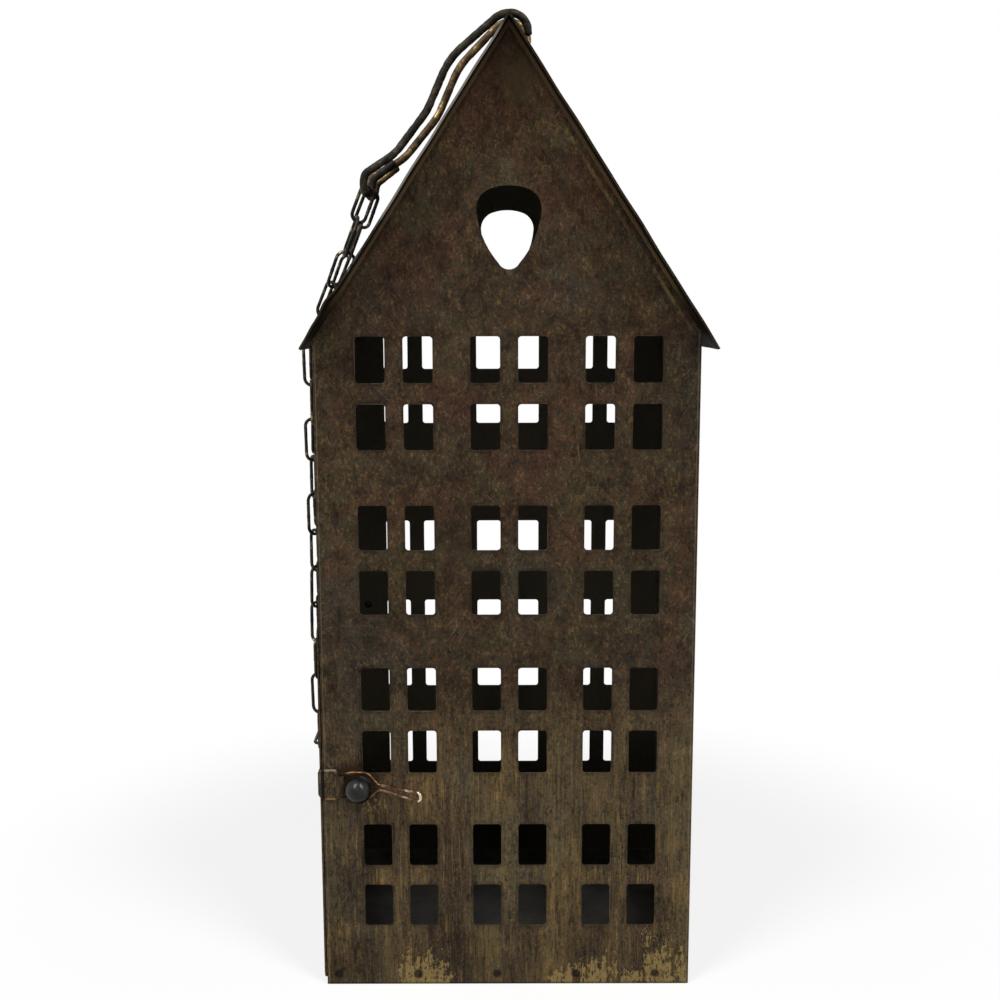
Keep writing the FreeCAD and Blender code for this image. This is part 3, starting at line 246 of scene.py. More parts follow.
def flecks(finish, tone, fleck, size, shift, low, share, upright=1.0):
    """Small spots of one colour, where fine noise is above low, uneven in density."""
    spots = finish.noise(size, 3, 0.75, finish.stretched((1, 1, upright), shift=shift))
    crowd = finish.noise(11 * MM, 3, 0.6, finish.stretched((1, 1, 1), shift=-shift))
    return finish.mix((spots + (crowd - 0.5) * 0.16).rise(low, low + 0.07) * share, tone, fleck)


def patina(finish, low):
    """The colour of patinated tin and a height for its relief: blotches under flecks, times a
    sum of noises. Low goes from 0 on the mottled upper part to 1 on the brushed lower part."""
    blotch = finish.noise(9 * MM, 6, 0.75, distortion=0.4)
    warm = finish.noise(14 * MM, 5, 0.7, finish.stretched((1, 1, 1), shift=0.7))
    grey = finish.noise(26 * MM, 4, 0.65, finish.stretched((1, 1, 0.7), shift=0.1))
    band = finish.noise(9 * MM, 3, 0.6, finish.stretched((1, 1, 0.12), shift=0.62))
    mottle = finish.noise(2.6 * MM, 4, 0.7, finish.stretched((1, 1, 0.8), shift=0.74))
    fleck = finish.noise(0.6 * MM, 3, 0.75)
    stroke = finish.noise(0.7 * MM, 3, 0.7, finish.stretched(
        (1, 1, 0.2), turn=(0.0, 0.5, 0.0), shift=0.21))
    brushed = finish.noise(0.45 * MM, 4, 0.75, finish.stretched((1, 1, 0.06), shift=0.4))
    streak = finish.noise(0.9 * MM, 3, 0.75, finish.stretched((1, 1, 0.09), shift=0.5))
    line = finish.noise(0.32 * MM, 2, 0.6, finish.stretched((1, 1, 0.025), shift=0.56))
    upper = finish.mix(blotch.rise(0.40, 0.60) * 0.8, UMBER, OLIVE)
    upper = finish.mix(warm.rise(0.46, 0.62) * 0.7, upper, RUST)
    upper = finish.mix(grey.rise(0.52, 0.66) * 0.6, upper, STEEL_GREY)
    lower = finish.mix(band.rise(0.40, 0.62), LOW_BROWN, LOW_OCHRE)
    lower = finish.mix(streak.rise(0.56, 0.64) * 0.55, lower, GOLD_FLECK)
    lower = finish.mix((1 - streak).rise(0.56, 0.66) * 0.6, lower, SOOT)
    lower = finish.mix(grey.rise(0.44, 0.60) * 0.5, lower, LOW_OLIVE)
    tone = finish.mix(low, upper, lower)
    tone = finish.mix(line.rise(0.62, 0.7) * low * 0.5, tone, GOLD_FLECK)
    tone = flecks(finish, tone, RUST_FLECK, 1.0 * MM, 0.35, 0.54, 0.3)
    tone = flecks(finish, tone, SOOT, 0.7 * MM, 0.15, 0.55, 0.55, upright=0.5)
    tone = flecks(finish, tone, GOLD_FLECK, 0.6 * MM, 0.25, 0.56, 0.27, upright=0.6)
    tone = flecks(finish, tone, GREY_FLECK, 0.5 * MM, 0.45, 0.6, 0.3)
    tone = finish.mix(stroke.rise(0.62, 0.72) * (1 - low) * 0.2, tone, GOLD_FLECK)
    level = 1 + (fleck - 0.5) * 1.6 + (blotch - 0.5) * 1.5 + (band - 0.5) * low
    level = level + (mottle - 0.5) * 2.2 * (1 - low * 0.6)
    level = level + (brushed - 0.5) * low * 2.0
    height = fleck * 0.5 + streak * low * 0.4 + brushed * low * 0.4
    return finish.shade(tone, level.most(0.3)), height


def scratched_patina(finish, low):
    """Patina with fine scratches in three directions. Also gives its height and a soft noise,
    which breaks up the marks that are laid over it."""
    tone, height = patina(finish, low)
    rub = finish.noise(6 * MM, 5, 0.75, finish.stretched((1, 1, 0.4), shift=0.45))
    marks = scratches(finish, (0.0, 0.75, 0.0), 0.3 * MM, 0.13)
    marks = marks.most(scratches(finish, (0.0, -0.6, 0.0), 0.28 * MM, 0.57))
    marks = marks.most(scratches(finish, (0.0, 0.12, 0.0), 0.3 * MM, 0.81, cover=0.46))
    return finish.mix(marks * 0.22, tone, PALE), height, rub


def dented(finish, tone, height, polish=0.0):
    """Gives a sheet its colour and a relief of fine pits on broad shallow dents. Polish makes it
    less rough."""
    rough = 0.62 + (height - 0.7) * 0.25 - polish
    dents = finish.noise(34 * MM, 2, 0.4, finish.stretched((1, 1, 0.8)))
    normal = finish.relief(height, 0.10 * MM, finish.relief(dents, 1.0 * MM))
    return finish.wear(base_color=tone, roughness=rough.least(0.85), metallic=0.2,
                       specular_ior_level=0.08, normal=normal)


BRUSHED_TOP = 135 * MM
BRUSHED_FULL = 95 * MM
GABLE_Y = -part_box("front_wall")[0].y
SIDE_X = -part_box("left_wall")[0].x
INSIDE_GREY = colour(84, 78, 66)
INSIDE_LOW = colour(50, 48, 40)
DULLEST_Z = 45 * MM
DULL_Z = 95 * MM


def dull_inside(finish, tone, rub, x, y, z):
    """Dulls the faces that look into the lantern, and darkens them towards the floor."""
    inside = abs(y).fall(GABLE_Y - 0.7 * MM, GABLE_Y - 0.4 * MM) * abs(x).fall(
        SIDE_X - 0.7 * MM, SIDE_X - 0.4 * MM)
    dulled = finish.mix(z.rise(DULLEST_Z, DULL_Z), INSIDE_LOW, INSIDE_GREY)
    return finish.mix(inside * 0.9, tone, finish.shade(dulled, 0.7 + rub * 0.6))


def side_tin(name, lightness=1.0, low_share=1.0):
    """Tin of the side walls and the door. That of the hinge leaves is darker, less brushed."""
    finish = Finish(name)
    x, y, z = finish.axes()
    tone, height, rub = scratched_patina(
        finish, z.fall(BRUSHED_FULL, BRUSHED_TOP) * low_share)
    tone = dull_inside(finish, tone, rub, x, y, z)
    return dented(finish, finish.shade(tone, lightness), height)


# Each flaked patch at the foot: its middle, its half width and its height, in millimetres
PATCHES = ((-35, 13, 17), (22, 8, 10), (38, 9, 16), (52, 8, 8), (63, 8, 30), (72, 5, 20))


def flaked(finish, x, z):
    """Where the patina flaked off the foot, and the dark border round that: a low rise over each
    patch plus dripping, crumbling and wandering noise, cut off at two levels."""
    drip = finish.noise(0.9 * MM, 3, 0.75, finish.stretched((1, 1, 0.16), shift=0.6))
    crumb = finish.noise(1.1 * MM, 5, 0.85, finish.stretched((1, 1, 0.7), shift=0.8))
    wander = finish.noise(5 * MM, 3, 0.6, finish.stretched((1, 1, 0.5), shift=0.9))
    cover = 0.0
    for middle, half_width, height in PATCHES:
        beside = abs(x - middle * MM).fall(half_width * 0.4 * MM, half_width * 1.3 * MM)
        beneath = z.fall(height * 0.2 * MM, height * 1.2 * MM)
        cover = (beside * beneath).most(cover)
    ragged = cover * 0.56 + (drip - 0.5) * 1.5 + (crumb - 0.5) * 2.1 + (wander - 0.5) * 0.9
    ragged = ragged - cover.fall(0.02, 0.14) * 2
    bare = ragged.rise(0.36, 0.44)
    return bare, ragged.rise(0.18, 0.36) * (1 - bare)


roof_low, roof_high = (np.array(corner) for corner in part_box("roof"))
RIDGE_X = (roof_low[0] + roof_high[0]) / 2
WINDOW_WIDTH = 11.5 * MM
WINDOW_HEIGHT = 17.9 * MM
WINDOW_CORNER = 1.3 * MM
COLUMN_PITCH = 44.56 * MM
PAIR_PITCH = 18.54 * MM
STOREY_PITCH = 65.8 * MM
ROW_PITCH = 26.1 * MM
FIRST_ROW_Z = 34.9 * MM


def window_distance(x, z):
    """How far a point of a gable wall lies outside the nearest window, in metres. Its offsets
    are folded to one window of one group, then measured to a rectangle with round corners."""
    across = x - RIDGE_X
    across = across - (across / COLUMN_PITCH).rounded().most(-1.0).least(1.0) * COLUMN_PITCH
    across = abs(abs(across) - PAIR_PITCH / 2) - (WINDOW_WIDTH / 2 - WINDOW_CORNER)
    upright = z - (FIRST_ROW_Z + ROW_PITCH / 2)
    upright = upright - (upright / STOREY_PITCH).rounded().most(0.0).least(3.0) * STOREY_PITCH
    upright = abs(abs(upright) - ROW_PITCH / 2) - (WINDOW_HEIGHT / 2 - WINDOW_CORNER)
    outside = apart(across.most(0.0), upright.most(0.0))
    return outside + across.most(upright).least(0.0) - WINDOW_CORNER


def window_shade_and_rims(finish, tone, rub, x, z):
    """Paints shade on the wall round each window. Punching left parts of the rims pale."""
    away = window_distance(x, z)
    # Painted shade round each window, broken up by noise.
    painted_window_shade = away.fall(0.2 * MM, 1.8 * MM) * (0.35 + rub.rise(0.4, 0.62) * 0.65)
    tone = finish.shade(tone, 1 - painted_window_shade * 0.4)
    rim = away.fall(0.1 * MM, 0.4 * MM) * rub.rise(0.5, 0.66)
    return finish.mix(rim * 0.25, tone, PALE)


WELD_COUNT = 5
WELD_PITCH = 32.8 * MM
FIRST_WELD_X = -70.0 * MM
WELD_Z = 4.5 * MM


def weld_burns(rub, x, z):
    """The dark spots that spot welding the tray burnt into the foot."""
    burn = 0.0
    for number in range(WELD_COUNT):
        away = apart(x - (FIRST_WELD_X + WELD_PITCH * number), z - WELD_Z)
        burn = (away + (rub - 0.5) * 3 * MM).fall(1.1 * MM, 2.6 * MM).most(burn)
    return burn


BARE_GOLD = colour(128, 108, 68)
BALL_X = -59.8 * MM
BALL_Z = 87.4 * MM
RUBBED_X = -54 * MM
RUBBED_Z = 78 * MM


def ball_shadow_and_scuff(finish, tone, rub, grain, x, y, z):
    """Paints the ball's shadow on the front wall round it, and rubs gold flecks free below it."""
    front = y.fall(0.3 * MM - GABLE_Y, 0.6 * MM - GABLE_Y)
    # Painted shadow of the ball on the wall round it.
    painted_ball_shadow = (apart(x - BALL_X, z - BALL_Z) + (rub - 0.5) * 6 * MM).fall(7 * MM, 12 * MM)
    tone = finish.mix(painted_ball_shadow * front * 0.5, tone, SOOT)
    scuff = abs(x - RUBBED_X).fall(4 * MM, 12 * MM) * abs(z - RUBBED_Z).fall(2 * MM, 8 * MM)
    return finish.mix((scuff * front * 0.4 + grain).rise(0.92, 1.0) * 0.7, tone, BARE_GOLD)


ROOF_SHEET = 0.8 * MM
ROOF_HALF = (roof_high[0] - roof_low[0]) / 2
ROOF_RISE = roof_high[2] - roof_low[2]
ROOF_SLOPE = (ROOF_RISE - ROOF_SHEET / math.hypot(1, ROOF_RISE / ROOF_HALF)) / ROOF_HALF
ROOF_STEEP = math.hypot(1, ROOF_SLOPE)
APEX_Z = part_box("front_wall")[1].z
GABLE_FOOT_Z = 262 * MM
GABLE_FULL_Z = 290 * MM
SLANT_TURN = 0.579
RUBBED_INSET = 2.6 * MM
OCHRE_X = 4 * MM
OCHRE_Z = 364 * MM


def gable_top(finish, tone, rub, x, z):
    """Brush streaks that follow the right slope and a rubbed line along it, painted shade along
    both slopes where the roof shades the wall, and ochre below the apex. Inset is how far a point
    lies within the nearer slope."""
    inset = (APEX_Z - z - abs(x - RIDGE_X) * ROOF_SLOPE) / ROOF_STEEP
    slant = finish.noise(3.5 * MM, 4, 0.7, finish.stretched(
        (1, 1, 0.08), turn=(0, SLANT_TURN, 0), shift=0.66))
    upper = z.rise(GABLE_FOOT_Z, GABLE_FULL_Z)
    beside = upper * x.rise(2 * MM, 12 * MM) * inset.fall(16 * MM, 30 * MM)
    tone = finish.shade(tone, 1 + (slant - 0.5) * beside * 1.9)
    rubbed = abs(inset - RUBBED_INSET).fall(0.3 * MM, 1.0 * MM) * rub.rise(0.46, 0.6)
    rubbed = rubbed * upper * x.rise(9 * MM, 14 * MM)
    tone = finish.mix(rubbed * 0.4, tone, BARE_GOLD)
    # Painted shade on the wall just under the roof's slopes.
    painted_slope_shade = inset.fall(0.8 * MM, 2.0 * MM)
    tone = finish.shade(tone, 1 - painted_slope_shade * upper * 0.35)
    ochre = (apart(x - OCHRE_X, z - OCHRE_Z) + (rub - 0.5) * 16 * MM).fall(3 * MM, 13 * MM)
    tone = finish.mix(ochre * 0.45, tone, LOW_OCHRE)
    return finish.shade(tone, 1 + z.rise(300 * MM, 350 * MM) * 0.22)


def gable_tin():
    """Tin of the front and back walls, with the marks of their making and handling and painted
    shade round the windows, round the ball and under the roof, laid one over the other in the order
    of the lines below."""
    finish = Finish("gable_tin")
    x, y, z = finish.axes()
    tone, height, rub = scratched_patina(finish, z.fall(BRUSHED_FULL, BRUSHED_TOP))
    tone = finish.shade(tone, 0.84 + z.rise(12 * MM, 34 * MM) * 0.16)
    outer_side = abs(y).rise(GABLE_Y - 0.6 * MM, GABLE_Y - 0.3 * MM)
    bare, border = flaked(finish, x, z)
    tone = finish.mix(border * outer_side * 0.5, tone, SOOT)
    grain = finish.noise(0.7 * MM, 4, 0.8, finish.stretched((1, 1, 0.5), shift=0.33))
    gold = finish.mix(grain.rise(0.36, 0.46), SOOT, finish.shade(BARE_GOLD, 0.4 + grain * 1.1))
    tone = finish.mix(bare * outer_side * 0.85, tone, gold)
    tone = window_shade_and_rims(finish, tone, rub, x, z)
    tone = finish.mix(weld_burns(rub, x, z) * outer_side * 0.85, tone, SOOT)
    tone = ball_shadow_and_scuff(finish, tone, rub, grain, x, y, z)
    tone = finish.mix(z.fall(0.3 * MM, 1.3 * MM) * 0.6, tone, SOOT)
    lip = abs(x).rise(SIDE_X - 1.4 * MM, SIDE_X - 0.6 * MM) * abs(x).fall(
        SIDE_X - 0.5 * MM, SIDE_X - 0.2 * MM)
    tone = finish.mix(lip * (0.2 + rub * 0.4), tone, PALE)
    tone = dull_inside(finish, tone, rub, x, y, z)
    tone = gable_top(finish, tone, rub, x, z)
    return dented(finish, tone, height, polish=bare * 0.12)


TRAY_DARK = colour(54, 52, 47)
TRAY_GREY = colour(78, 76, 70)


def tray_tin():
    """Bare, dulled tin under a film of soot: grey, and it mirrors the windows softly."""
    finish = Finish("tray_finish")
    film = finish.noise(16 * MM, 5, 0.7)
    grain = finish.noise(0.9 * MM, 3, 0.7)
    tone = finish.mix(film.rise(0.36, 0.64), TRAY_DARK, TRAY_GREY)
    tone = finish.shade(tone, 0.7 + grain * 0.6)
    return finish.wear(base_color=tone, roughness=0.34 + film * 0.3, metallic=0.75,
                       specular_ior_level=0.1, normal=finish.relief(grain, 0.05 * MM))


CAD_WELD = 0.0005 * MM
FLAT_WITHIN = math.radians(0.5)
SHARP_FROM = math.radians(35)
FILED_FROM = math.radians(50)


def filed_copy(node, edge, material, body, name):
    """A copy of a CAD node: loose triangles merged, flat faces joined, sharp edges rounded."""
    mesh = frame["nodes"][node].data.copy()
    mesh.name = name
    work = bmesh.new()
    work.from_mesh(mesh)
    bmesh.ops.remove_doubles(work, verts=work.verts, dist=CAD_WELD)
    bmesh.ops.dissolve_limit(work, angle_limit=FLAT_WITHIN, verts=work.verts, edges=work.edges)
    work.to_mesh(mesh)
    work.free()
    mesh.materials.clear()
    mesh.materials.append(material)
    mesh.shade_smooth()
    mesh.set_sharp_from_angle(angle=SHARP_FROM)
    piece = bpy.data.objects.new(name, mesh)
    bpy.context.scene.collection.objects.link(piece)
    if edge:
        bevel = piece.modifiers.new("filed_edge", "BEVEL")
        bevel.width = edge
        bevel.segments = 2
        bevel.limit_method = "ANGLE"
        bevel.angle_limit = FILED_FROM
        bevel.harden_normals = True
    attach(piece, body)
    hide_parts(node)


SHEET_EDGE = 0.16 * MM
GABLE_TIN = gable_tin()
SIDE_TIN = side_tin("side_tin")
LEAF_TIN = side_tin("small_tin", lightness=0.85, low_share=0.4)
for node, material, body, name in (
        ("front_wall", GABLE_TIN, "body", "front_gable_sheet"),
        ("back_wall", GABLE_TIN, "body", "back_gable_sheet"),
        ("left_wall", SIDE_TIN, "body", "left_side_sheet"),
        ("right_wall", SIDE_TIN, "body", "right_side_sheet"),
        ("base_tray", tray_tin(), "body", "floor_tray_sheet"),
        ("door", SIDE_TIN, "side_door", "door_sheet"),
        ("upper_hinge_wall_leaf", LEAF_TIN, "body", "upper_hinge_fixed_leaf"),
        ("upper_hinge_door_leaf", LEAF_TIN, "side_door", "upper_hinge_moving_leaf"),
        ("lower_hinge_wall_leaf", LEAF_TIN, "body", "lower_hinge_fixed_leaf"),
        ("lower_hinge_door_leaf", LEAF_TIN, "side_door", "lower_hinge_moving_leaf")):
    filed_copy(node, SHEET_EDGE, material, body, name)


# Roof
# One sheet of the same tin, folded over the ridge. Cutting and handling left its free edges a
# little wavy, most of all the front edge of the left slope.
# Colour of the overhang's underside, lighter than the tin: painted light.
OVERHANG_PAINTED_LIGHT = colour(106, 87, 62)
CUT_EDGE = colour(150, 146, 138)
BLACK = colour(12, 11, 9)


def roof_tin():
    """Mottled patina above, painted shade below. The underside of the overhang is painted lighter,
    most of all near the wall, as painted light, and the cut edge at the front of the left slope is
    worn pale."""
    finish = Finish("roof_tin")
    x, y, z = finish.axes()
    tone, height, rub = scratched_patina(finish, 0.0)
    facing = finish.node("ShaderNodeNewGeometry", {}, {}, "True Normal")
    under = finish.node("ShaderNodeSeparateXYZ", {}, {0: facing}, 2).fall(-0.1, 0.1)
    eave = z.fall(roof_low[2], roof_low[2] + 9 * MM)
    outward = abs(y)
    overhang = outward.rise(GABLE_Y - 0.1 * MM, GABLE_Y + 0.2 * MM)
    overhang = overhang * outward.fall(67.5 * MM, 72 * MM) * z.rise(268 * MM, 292 * MM)
    near_wall_light = outward.fall(GABLE_Y + 0.6 * MM, GABLE_Y + 3 * MM)
    # Painted light on the underside of the overhang, strongest near the wall.
    tone = finish.mix(under * overhang, tone, finish.shade(
        OVERHANG_PAINTED_LIGHT, 0.35 + rub * 1.1 + near_wall_light * 0.5))
    cut = y.fall(roof_low[1] + 0.1 * MM, roof_low[1] + 0.3 * MM) * x.fall(-4 * MM, 0.0)
    cut = cut * (z + (rub - 0.5) * 90 * MM).rise(295 * MM, 320 * MM)
    tone = finish.mix(cut * 0.9, tone, CUT_EDGE)
    # Painted shade on the undersides, less at the eaves and on the overhang.
    painted_under_shade = under * (1 - eave * 0.6) * (1 - overhang * 0.9)
    tone = finish.mix(painted_under_shade * 0.9, tone, BLACK)
    return dented(finish, finish.shade(tone, 0.9), height)


SURFACE_WELD = 0.001 * MM


def weld(mesh):
    """Merges a mesh's coinciding points and turns its faces outwards."""
    work = bmesh.new()
    work.from_mesh(mesh)
    bmesh.ops.remove_doubles(work, verts=work.verts, dist=SURFACE_WELD)
    bmesh.ops.recalc_face_normals(work, faces=work.faces)
    work.to_mesh(mesh)
    work.free()
    mesh.shade_smooth()


def mesh_of(name, grid, around=False, along=False):
    """A mesh from a grid of points, rows by columns, with a face between each four neighbours.
    It closes on itself across the columns if around is true and across the rows if along is
    true. Rows that have shrunk to a point are merged."""
    rows, columns = grid.shape[:2]
    number = np.arange(rows * columns).reshape(rows, columns)
    if around:
        number = np.concatenate((number, number[:, :1]), axis=1)
    if along:
        number = np.concatenate((number, number[:1]), axis=0)
    faces = np.stack((number[:-1, :-1], number[:-1, 1:], number[1:, 1:], number[1:, :-1]), axis=-1)
    mesh = bpy.data.meshes.new(name)
    mesh.from_pydata(grid.reshape(-1, 3).tolist(), [], faces.reshape(-1, 4).tolist())
    weld(mesh)
    return mesh


def joined(name, meshes, material, body, nodes):
    """One piece from several meshes."""
    work = bmesh.new()
    for mesh in meshes:
        work.from_mesh(mesh)
        bpy.data.meshes.remove(mesh)
    whole = bpy.data.meshes.new(name)
    work.to_mesh(whole)
    work.free()
    whole.materials.append(material)
    piece = bpy.data.objects.new(name, whole)
    bpy.context.scene.collection.objects.link(piece)
    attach(piece, body)
    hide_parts(*nodes)
    return piece


ROOF_STEPS = 241
ROOF_ROWS = 121
FOLD_RADIUS = 0.35 * MM
WAVE_HEIGHT = 0.09 * MM
FREE_EDGE_SHARE = 0.2
EAVE_SHARE = 0.05
KINK_SHARE = 0.1
CREASE_FROM = math.radians(40)
# Each wave's strength, its turns in radians across and along the sheet, and its start
WAVES = ((1.0, 23, 5, 0.0), (0.7, 41, 0, 1.3), (0.6, 4, 31, 0.0))
# Each kink's place and width, as shares of the slope, and its height
KINKS = ((-0.86, 0.035, 1.3 * MM), (-0.93, 0.03, 0.4 * MM))


def roof_surface():
    """The sheet's closed skin: it falls by the slope on both sides of the ridge, and is lifted
    square to the slope by a sum of sines that grows towards the free edges and by two bell
    curves at the front of the left slope."""
    u, v = np.meshgrid(np.linspace(-1, 1, ROOF_STEPS), np.linspace(0, 1, ROOF_ROWS))
    edge = np.clip((np.abs(2 * v - 1) - (1 - FREE_EDGE_SHARE)) / FREE_EDGE_SHARE, 0, 1) ** 1.5
    eave = np.clip((np.abs(u) - (1 - EAVE_SHARE)) / EAVE_SHARE, 0, 1) ** 1.5
    wave = sum(strength * (1 + np.sin(u * across + v * along + start))
               for strength, across, along, start in WAVES)
    kink = sum(height * np.exp(-((u - place) / width) ** 2) for place, width, height in KINKS)
    lift = np.maximum(edge, eave) * wave * WAVE_HEIGHT + np.clip(1 - v / KINK_SHARE, 0, 1) * kink
    distance = np.hypot(ROOF_HALF * u, FOLD_RADIUS)
    x = RIDGE_X + ROOF_HALF * u + np.sign(u) * lift * ROOF_SLOPE / ROOF_STEEP
    y = roof_low[1] + (roof_high[1] - roof_low[1]) * v
    z = roof_high[2] - ROOF_SLOPE * distance + lift / ROOF_STEEP
    outer = np.stack((np.clip(x, roof_low[0], roof_high[0]), y, z), axis=-1)
    lean = ROOF_HALF * u / distance * ROOF_SLOPE / ROOF_STEEP
    inward = np.stack((-lean, np.zeros_like(u), -np.sqrt(1 - lean ** 2)), axis=-1)
    inner = outer + inward * ROOF_SHEET
    return [mesh_of("outer", outer), mesh_of("inner", inner[::-1]),
            mesh_of("front", np.stack((outer[0], inner[0]))),
            mesh_of("back", np.stack((inner[-1], outer[-1]))),
            mesh_of("left", np.stack((inner[:, 0], outer[:, 0]))),
            mesh_of("right", np.stack((outer[:, -1], inner[:, -1])))]


roof = joined("folded_roof_sheet", roof_surface(), roof_tin(), "body", ["roof"])
weld(roof.data)
roof.data.set_sharp_from_angle(angle=CREASE_FROM)


# Hooks
# Two hooks of thick wire, bent by hand: over the ridge, down the left slope in a long bow and
# round to an open eye that holds the chain's first link. Rolling left fine rings across the wire.
def wire_finish(name, dark, rubbed, metal, rub_low, rub_high, roughness, rings=0.0, lean=0.0,
                shine=0.35, bright=None, shaded=None):
    """Dark scale with rubbed patches, fine rings across the wire and small pits. Lean is the turn
    about Y that brings the X axis along the wire. Bright gives the stretch of X over which the wire
    gets worn bright, and the last argument the stretch over which painted shade on the wire fades
    out."""
    finish = Finish(name)
    rub = finish.noise(3.0 * MM, 5, 0.75)
    grain = finish.noise(0.35 * MM, 3, 0.7)
    pits = finish.noise(0.8 * MM, 2, 0.6, finish.stretched((1, 1, 1), shift=0.3))
    ring = finish.noise(0.35 * MM, 2, 0.6, finish.stretched((1, 0.1, 0.1), turn=(0, lean, 0)))
    tone = finish.mix(rub.rise(rub_low - 0.16, rub_low), dark, rubbed)
    bare = rub.rise(rub_low, rub_high)
    if bright:
        x = finish.axes()[0]
        # Painted shade over the last given stretch of X, with no bare metal under it.
        painted_shade = x.fall(*shaded)
        bare = bare.most((x + (rub - 0.5) * 2 * MM).rise(*bright)) * (1 - painted_shade)
        tone = finish.mix(painted_shade * 0.9, tone, BLACK)
    tone = finish.mix(bare, tone, metal)
    tone = finish.shade(tone, 0.5 + grain * (1 - rings * 0.4) + ring * rings)
    height = grain * 0.4 + pits * 0.6 + ring * rings
    return finish.wear(
        base_color=tone, roughness=roughness - bare * 0.14 + grain * 0.12,
        metallic=shine + bare * (0.85 - shine), specular_ior_level=0.12,
        normal=finish.relief(height, 0.09 * MM))


def wire_path(corners, bends, spacing, closed=False):
    """Points along straight runs joined by round bends, evenly spaced. A bend's arc touches both
    runs, so its centre lies on their bisector. A closed path starts half way along its last
    run."""
    corners = [np.array(corner, float) for corner in corners]
    if closed:
        middle = (corners[-1] + corners[0]) / 2
        corners = [middle] + corners + [middle]
    points = [corners[0]]
    for before, corner, after, bend in zip(corners, corners[1:], corners[2:], bends):
        back = (before - corner) / np.linalg.norm(before - corner)
        on = (after - corner) / np.linalg.norm(after - corner)
        turn = math.pi - math.acos(np.clip(back @ on, -1, 1))
        inward = (back + on) / np.linalg.norm(back + on)
        centre = corner + inward * bend / math.cos(turn / 2)
        start = corner + back * bend * math.tan(turn / 2)
        angles = np.linspace(0, turn, max(3, int(turn * bend / spacing)))[:, None]
        out = (start - centre) / bend
        points.extend(centre + bend * (out * np.cos(angles) - back * np.sin(angles)))
    points.append(corners[-1])
    points = np.array(points)
    lengths = np.concatenate(([0], np.cumsum(np.linalg.norm(np.diff(points, axis=0), axis=1))))
    even = np.linspace(0, lengths[-1], max(8, int(lengths[-1] / spacing)))
    path = np.stack([np.interp(even, lengths, points[:, axis]) for axis in range(3)], axis=1)
    return path[:-1] if closed else path


BROAD_STEP = 0.37
BROAD_TWIST = 0.11
NARROW_STEP = 0.83
NARROW_SHARE = 0.6


def wire_skin(name, path, radius, sides=14, closed=False, flats=0.0, phase=0.0):
    """A round section carried along a path by a frame that doesn't twist. The radius may vary
    along the wire, and flats is how deep hammering pressed marks into it: the share of the
    radius that two crossed waves take off where they are positive."""
    if closed:
        ahead_step = np.roll(path, -1, axis=0) - np.roll(path, 1, axis=0)
    else:
        ahead_step = np.gradient(path, axis=0)
    tangent = ahead_step / np.linalg.norm(ahead_step, axis=1, keepdims=True)
    side = np.cross(tangent[0], (0.31, 0.92, 0.24))
    sides_of = []
    for along in tangent:
        side = side - along * (side @ along)
        side = side / np.linalg.norm(side)
        sides_of.append(side)
    normal = np.array(sides_of)
    other = np.cross(tangent, normal)
    angle = np.arange(sides) * 2 * math.pi / sides
    if closed:
        slip = math.atan2(normal[-1] @ other[0], normal[-1] @ normal[0])
        angle = angle[None, :] - np.linspace(0, slip, len(path))[:, None]
    else:
        angle = np.broadcast_to(angle, (len(path), sides))
    step = np.arange(len(path))[:, None]
    broad = np.sin(step * BROAD_STEP + phase) * np.sin(angle * 2 + step * BROAD_TWIST + phase)
    narrow = np.sin(step * NARROW_STEP + 2 * phase) * np.cos(angle * 3 - phase)
    hammered = 1 - flats * (np.maximum(0, broad) + NARROW_SHARE * np.maximum(0, narrow))
    reach = np.broadcast_to(radius, (len(path),))[:, None] * hammered
    section = (np.cos(angle)[..., None] * normal[:, None, :]
               + np.sin(angle)[..., None] * other[:, None, :])
    return mesh_of(name, path[:, None, :] + reach[..., None] * section, around=True, along=closed)


def round_ends(path, radius, share=0.7):
    """The radius along an open wire whose cut ends are rounded off as a quarter of an ellipse."""
    lengths = np.concatenate(([0], np.cumsum(np.linalg.norm(np.diff(path, axis=0), axis=1))))
    near = np.minimum(lengths, lengths[-1] - lengths)
    reach = radius * share
    return radius * np.sqrt(np.clip(1 - np.clip(1 - near / reach, 0, 1) ** 2, 0, 1))


HOOK_WIRE = 3.0 * MM
HOOK_BEND = 6.6 * MM
HOOK_LENGTH = 64.0 * MM
HOOK_REACH = 53.6 * MM
HOOK_SPACING = 0.45 * MM
HOOK_SIDES = 20
HOOK_FLATS = 0.07
HOOK_LEAN = -0.85
EYE_WIDTH = 8.0 * MM
EYE_SPREAD = np.array((1.1, 0.0, -0.75)) * MM
EYE_TOP_SHARE = -0.85
FRONT_X_SHARES = (-0.052, -0.41, -0.565, -0.79, -0.985, -1)
REAR_X_SHARES = (-0.052, -0.35, -0.505, -0.745, -0.965, -1)
HOOK_Z_SHARES = (0, -0.25, -0.54, -0.78, -0.905, -1)
HOOK_BEND_SHARES = (0.14, 0.42, 0.34, 0.3, 0.06)
TIP_DROP_SHARE = 1.25
TIP_LEAN_SHARE = 1.1
RETURN_END_SHARES = (-0.82, -0.8)


